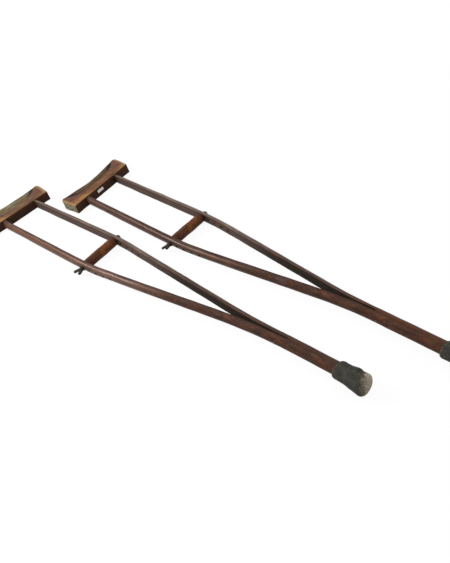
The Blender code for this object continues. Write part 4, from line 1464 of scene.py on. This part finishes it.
def label_paper(label):
    """Blank paper, faintly yellowed and grubby towards its edges."""
    material, tree, shader = new_material(f"{label} label paper")
    place = crutch_place(tree, label)
    fibre, stain = cloud(place, 2500.0, detail=3.0), cloud(place, 180.0, detail=3.0)
    colour = paint(
        mix(ease(fibre, 0.3, 0.7), (236, 230, 222), (250, 246, 240)),
        (ease(stain, 0.55, 0.75) * 0.4, (196, 178, 150)))
    finish_shader(shader, colour, fibre * 0.15 + 0.75, (fibre, 0.3, 0.0001))
    return material


FINISHES = {"staff_wood": staff_wood, "arm_rest_wood": arm_rest_wood, "grip_wood": grip_wood,
            "iron": old_iron, "ferrule_rubber": ferrule_rubber, "paper": label_paper}
MATERIALS = {}


def finish_piece(piece, label, body, node, slot, full_bend, place=Matrix.Identity(4)):
    """Shade a piece, put it in its place in the row and let it ride on its body."""
    mesh = piece.data
    mesh.shade_smooth()
    mesh.set_sharp_from_angle(angle=SHARP_ANGLE)
    record_bends(mesh, full_bend)
    mesh.transform(CRUTCH[label] @ place)
    if (slot, label) not in MATERIALS:
        MATERIALS[slot, label] = FINISHES[slot](label)
    mesh.materials.clear()
    mesh.materials.append(MATERIALS[slot, label])
    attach(piece, f"{label}_{body}")
    if node:
        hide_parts(f"{label}_{node}")


# Studio

def grey(level):
    return (level, level, level, 1.0)


def seen_rays(tree):
    """1 for the rays that show the background: to the camera, mirrored and through glass."""
    rays = tree.nodes.new("ShaderNodeLightPath").outputs
    camera, glossy, through = (Value(rays[f"Is {kind} Ray"]) for kind in ("Camera", "Glossy", "Transmission"))
    return calc("MAXIMUM", calc("MAXIMUM", camera, glossy), through)


def white_floor():
    """A white floor that the camera sees as white and that keeps the crutches' shadow."""
    bm = bmesh.new()
    bmesh.ops.create_grid(bm, x_segments=1, y_segments=1, size=FLOOR_SIZE / 2)
    floor = solid("studio_floor", bm)
    material, tree, shader = new_material("studio floor")
    seen = seen_rays(tree)
    feed(shader.inputs["Base Color"], mix(seen, grey(0.4), grey(0.95)))
    feed(shader.inputs["Roughness"], 0.9)
    glow = add_node(tree, "ShaderNodeEmission", {"Color": grey(1.0), "Strength": 1.0})
    surfaces = {0: seen * FLOOR_GLOW, 1: Value(shader.outputs[0]), 2: Value(glow.outputs[0])}
    feed(tree.nodes["Material Output"].inputs["Surface"], new_value("ShaderNodeMixShader", surfaces))
    floor.data.materials.append(material)


def soft_sky():
    """A plain sky, bright behind the key light and dark on the camera's side."""
    world = bpy.data.worlds.new("studio sky")
    bpy.context.scene.world = world
    world.use_nodes = True
    tree = world.node_tree
    around = Value(tree.nodes.new("ShaderNodeTexCoord").outputs["Generated"])
    facing = vector_calc("DOT_PRODUCT", around, Vector(SKY_DIRECTION).normalized(), output="Value")
    sky = mix(ease(facing, -0.3, 1.0), grey(SKY_DARK), grey(SKY_BRIGHT))
    feed(tree.nodes["Background"].inputs["Color"], mix(seen_rays(tree), sky, grey(1.0)))


def key_light():
    light = bpy.data.lights.new("key_light", "AREA")
    light.shape = "RECTANGLE"
    light.size, light.size_y = KEY_SIZE
    light.energy = KEY_POWER
    lamp = bpy.data.objects.new("key_light", light)
    bpy.context.scene.collection.objects.link(lamp)
    middle = (CAD_BOX[0] + CAD_BOX[1]) / 2
    lamp.location = middle + Vector(KEY_DIRECTION).normalized() * KEY_DISTANCE
    lamp.rotation_euler = (middle - lamp.location).to_track_quat("-Z", "Y").to_euler()


def photo_camera():
    """Stand the camera where the photograph was taken from."""
    pitch, heading, roll = (math.radians(angle) for angle in (CAMERA_PITCH, CAMERA_HEADING, CAMERA_ROLL))
    ahead = Vector((math.cos(heading), math.sin(heading), 0.0))
    forward = ahead * math.cos(pitch) - Vector((0.0, 0.0, math.sin(pitch)))
    level = Vector((math.sin(heading), -math.cos(heading), 0.0))
    down = forward.cross(level)
    right = math.cos(roll) * level + math.sin(roll) * down
    up = math.sin(roll) * level - math.cos(roll) * down
    axes = Matrix((right, up, -forward)).transposed().to_4x4()
    place = Matrix.Translation(Vector(CAMERA_TARGET) - forward * CAMERA_DISTANCE)
    data = bpy.data.cameras.new("photo_camera")
    data.sensor_width = 36.0
    data.lens = data.sensor_width * FOCAL_PIXELS / FRAME_HEIGHT_PIXELS
    camera = bpy.data.objects.new("photo_camera", data)
    bpy.context.scene.collection.objects.link(camera)
    camera.matrix_world = CRUTCH["rear"] @ place @ axes
    bpy.context.scene.camera = camera


def studio():
    white_floor()
    soft_sky()
    key_light()
    photo_camera()
    bpy.context.scene.view_settings.view_transform = "Standard"


def build_crutch(label, values):
    build_staff(label, values)
    build_arm_rest(label, values)
    build_hand_grip(label, values)
    build_bolt(label)
    build_washers(label)
    build_wing_nut(label, values)
    build_rivet(label, values)
    build_ferrule(label, values)


for crutch_label, crutch_values in CRUTCHES.items():
    build_crutch(crutch_label, crutch_values)
build_label()
studio()
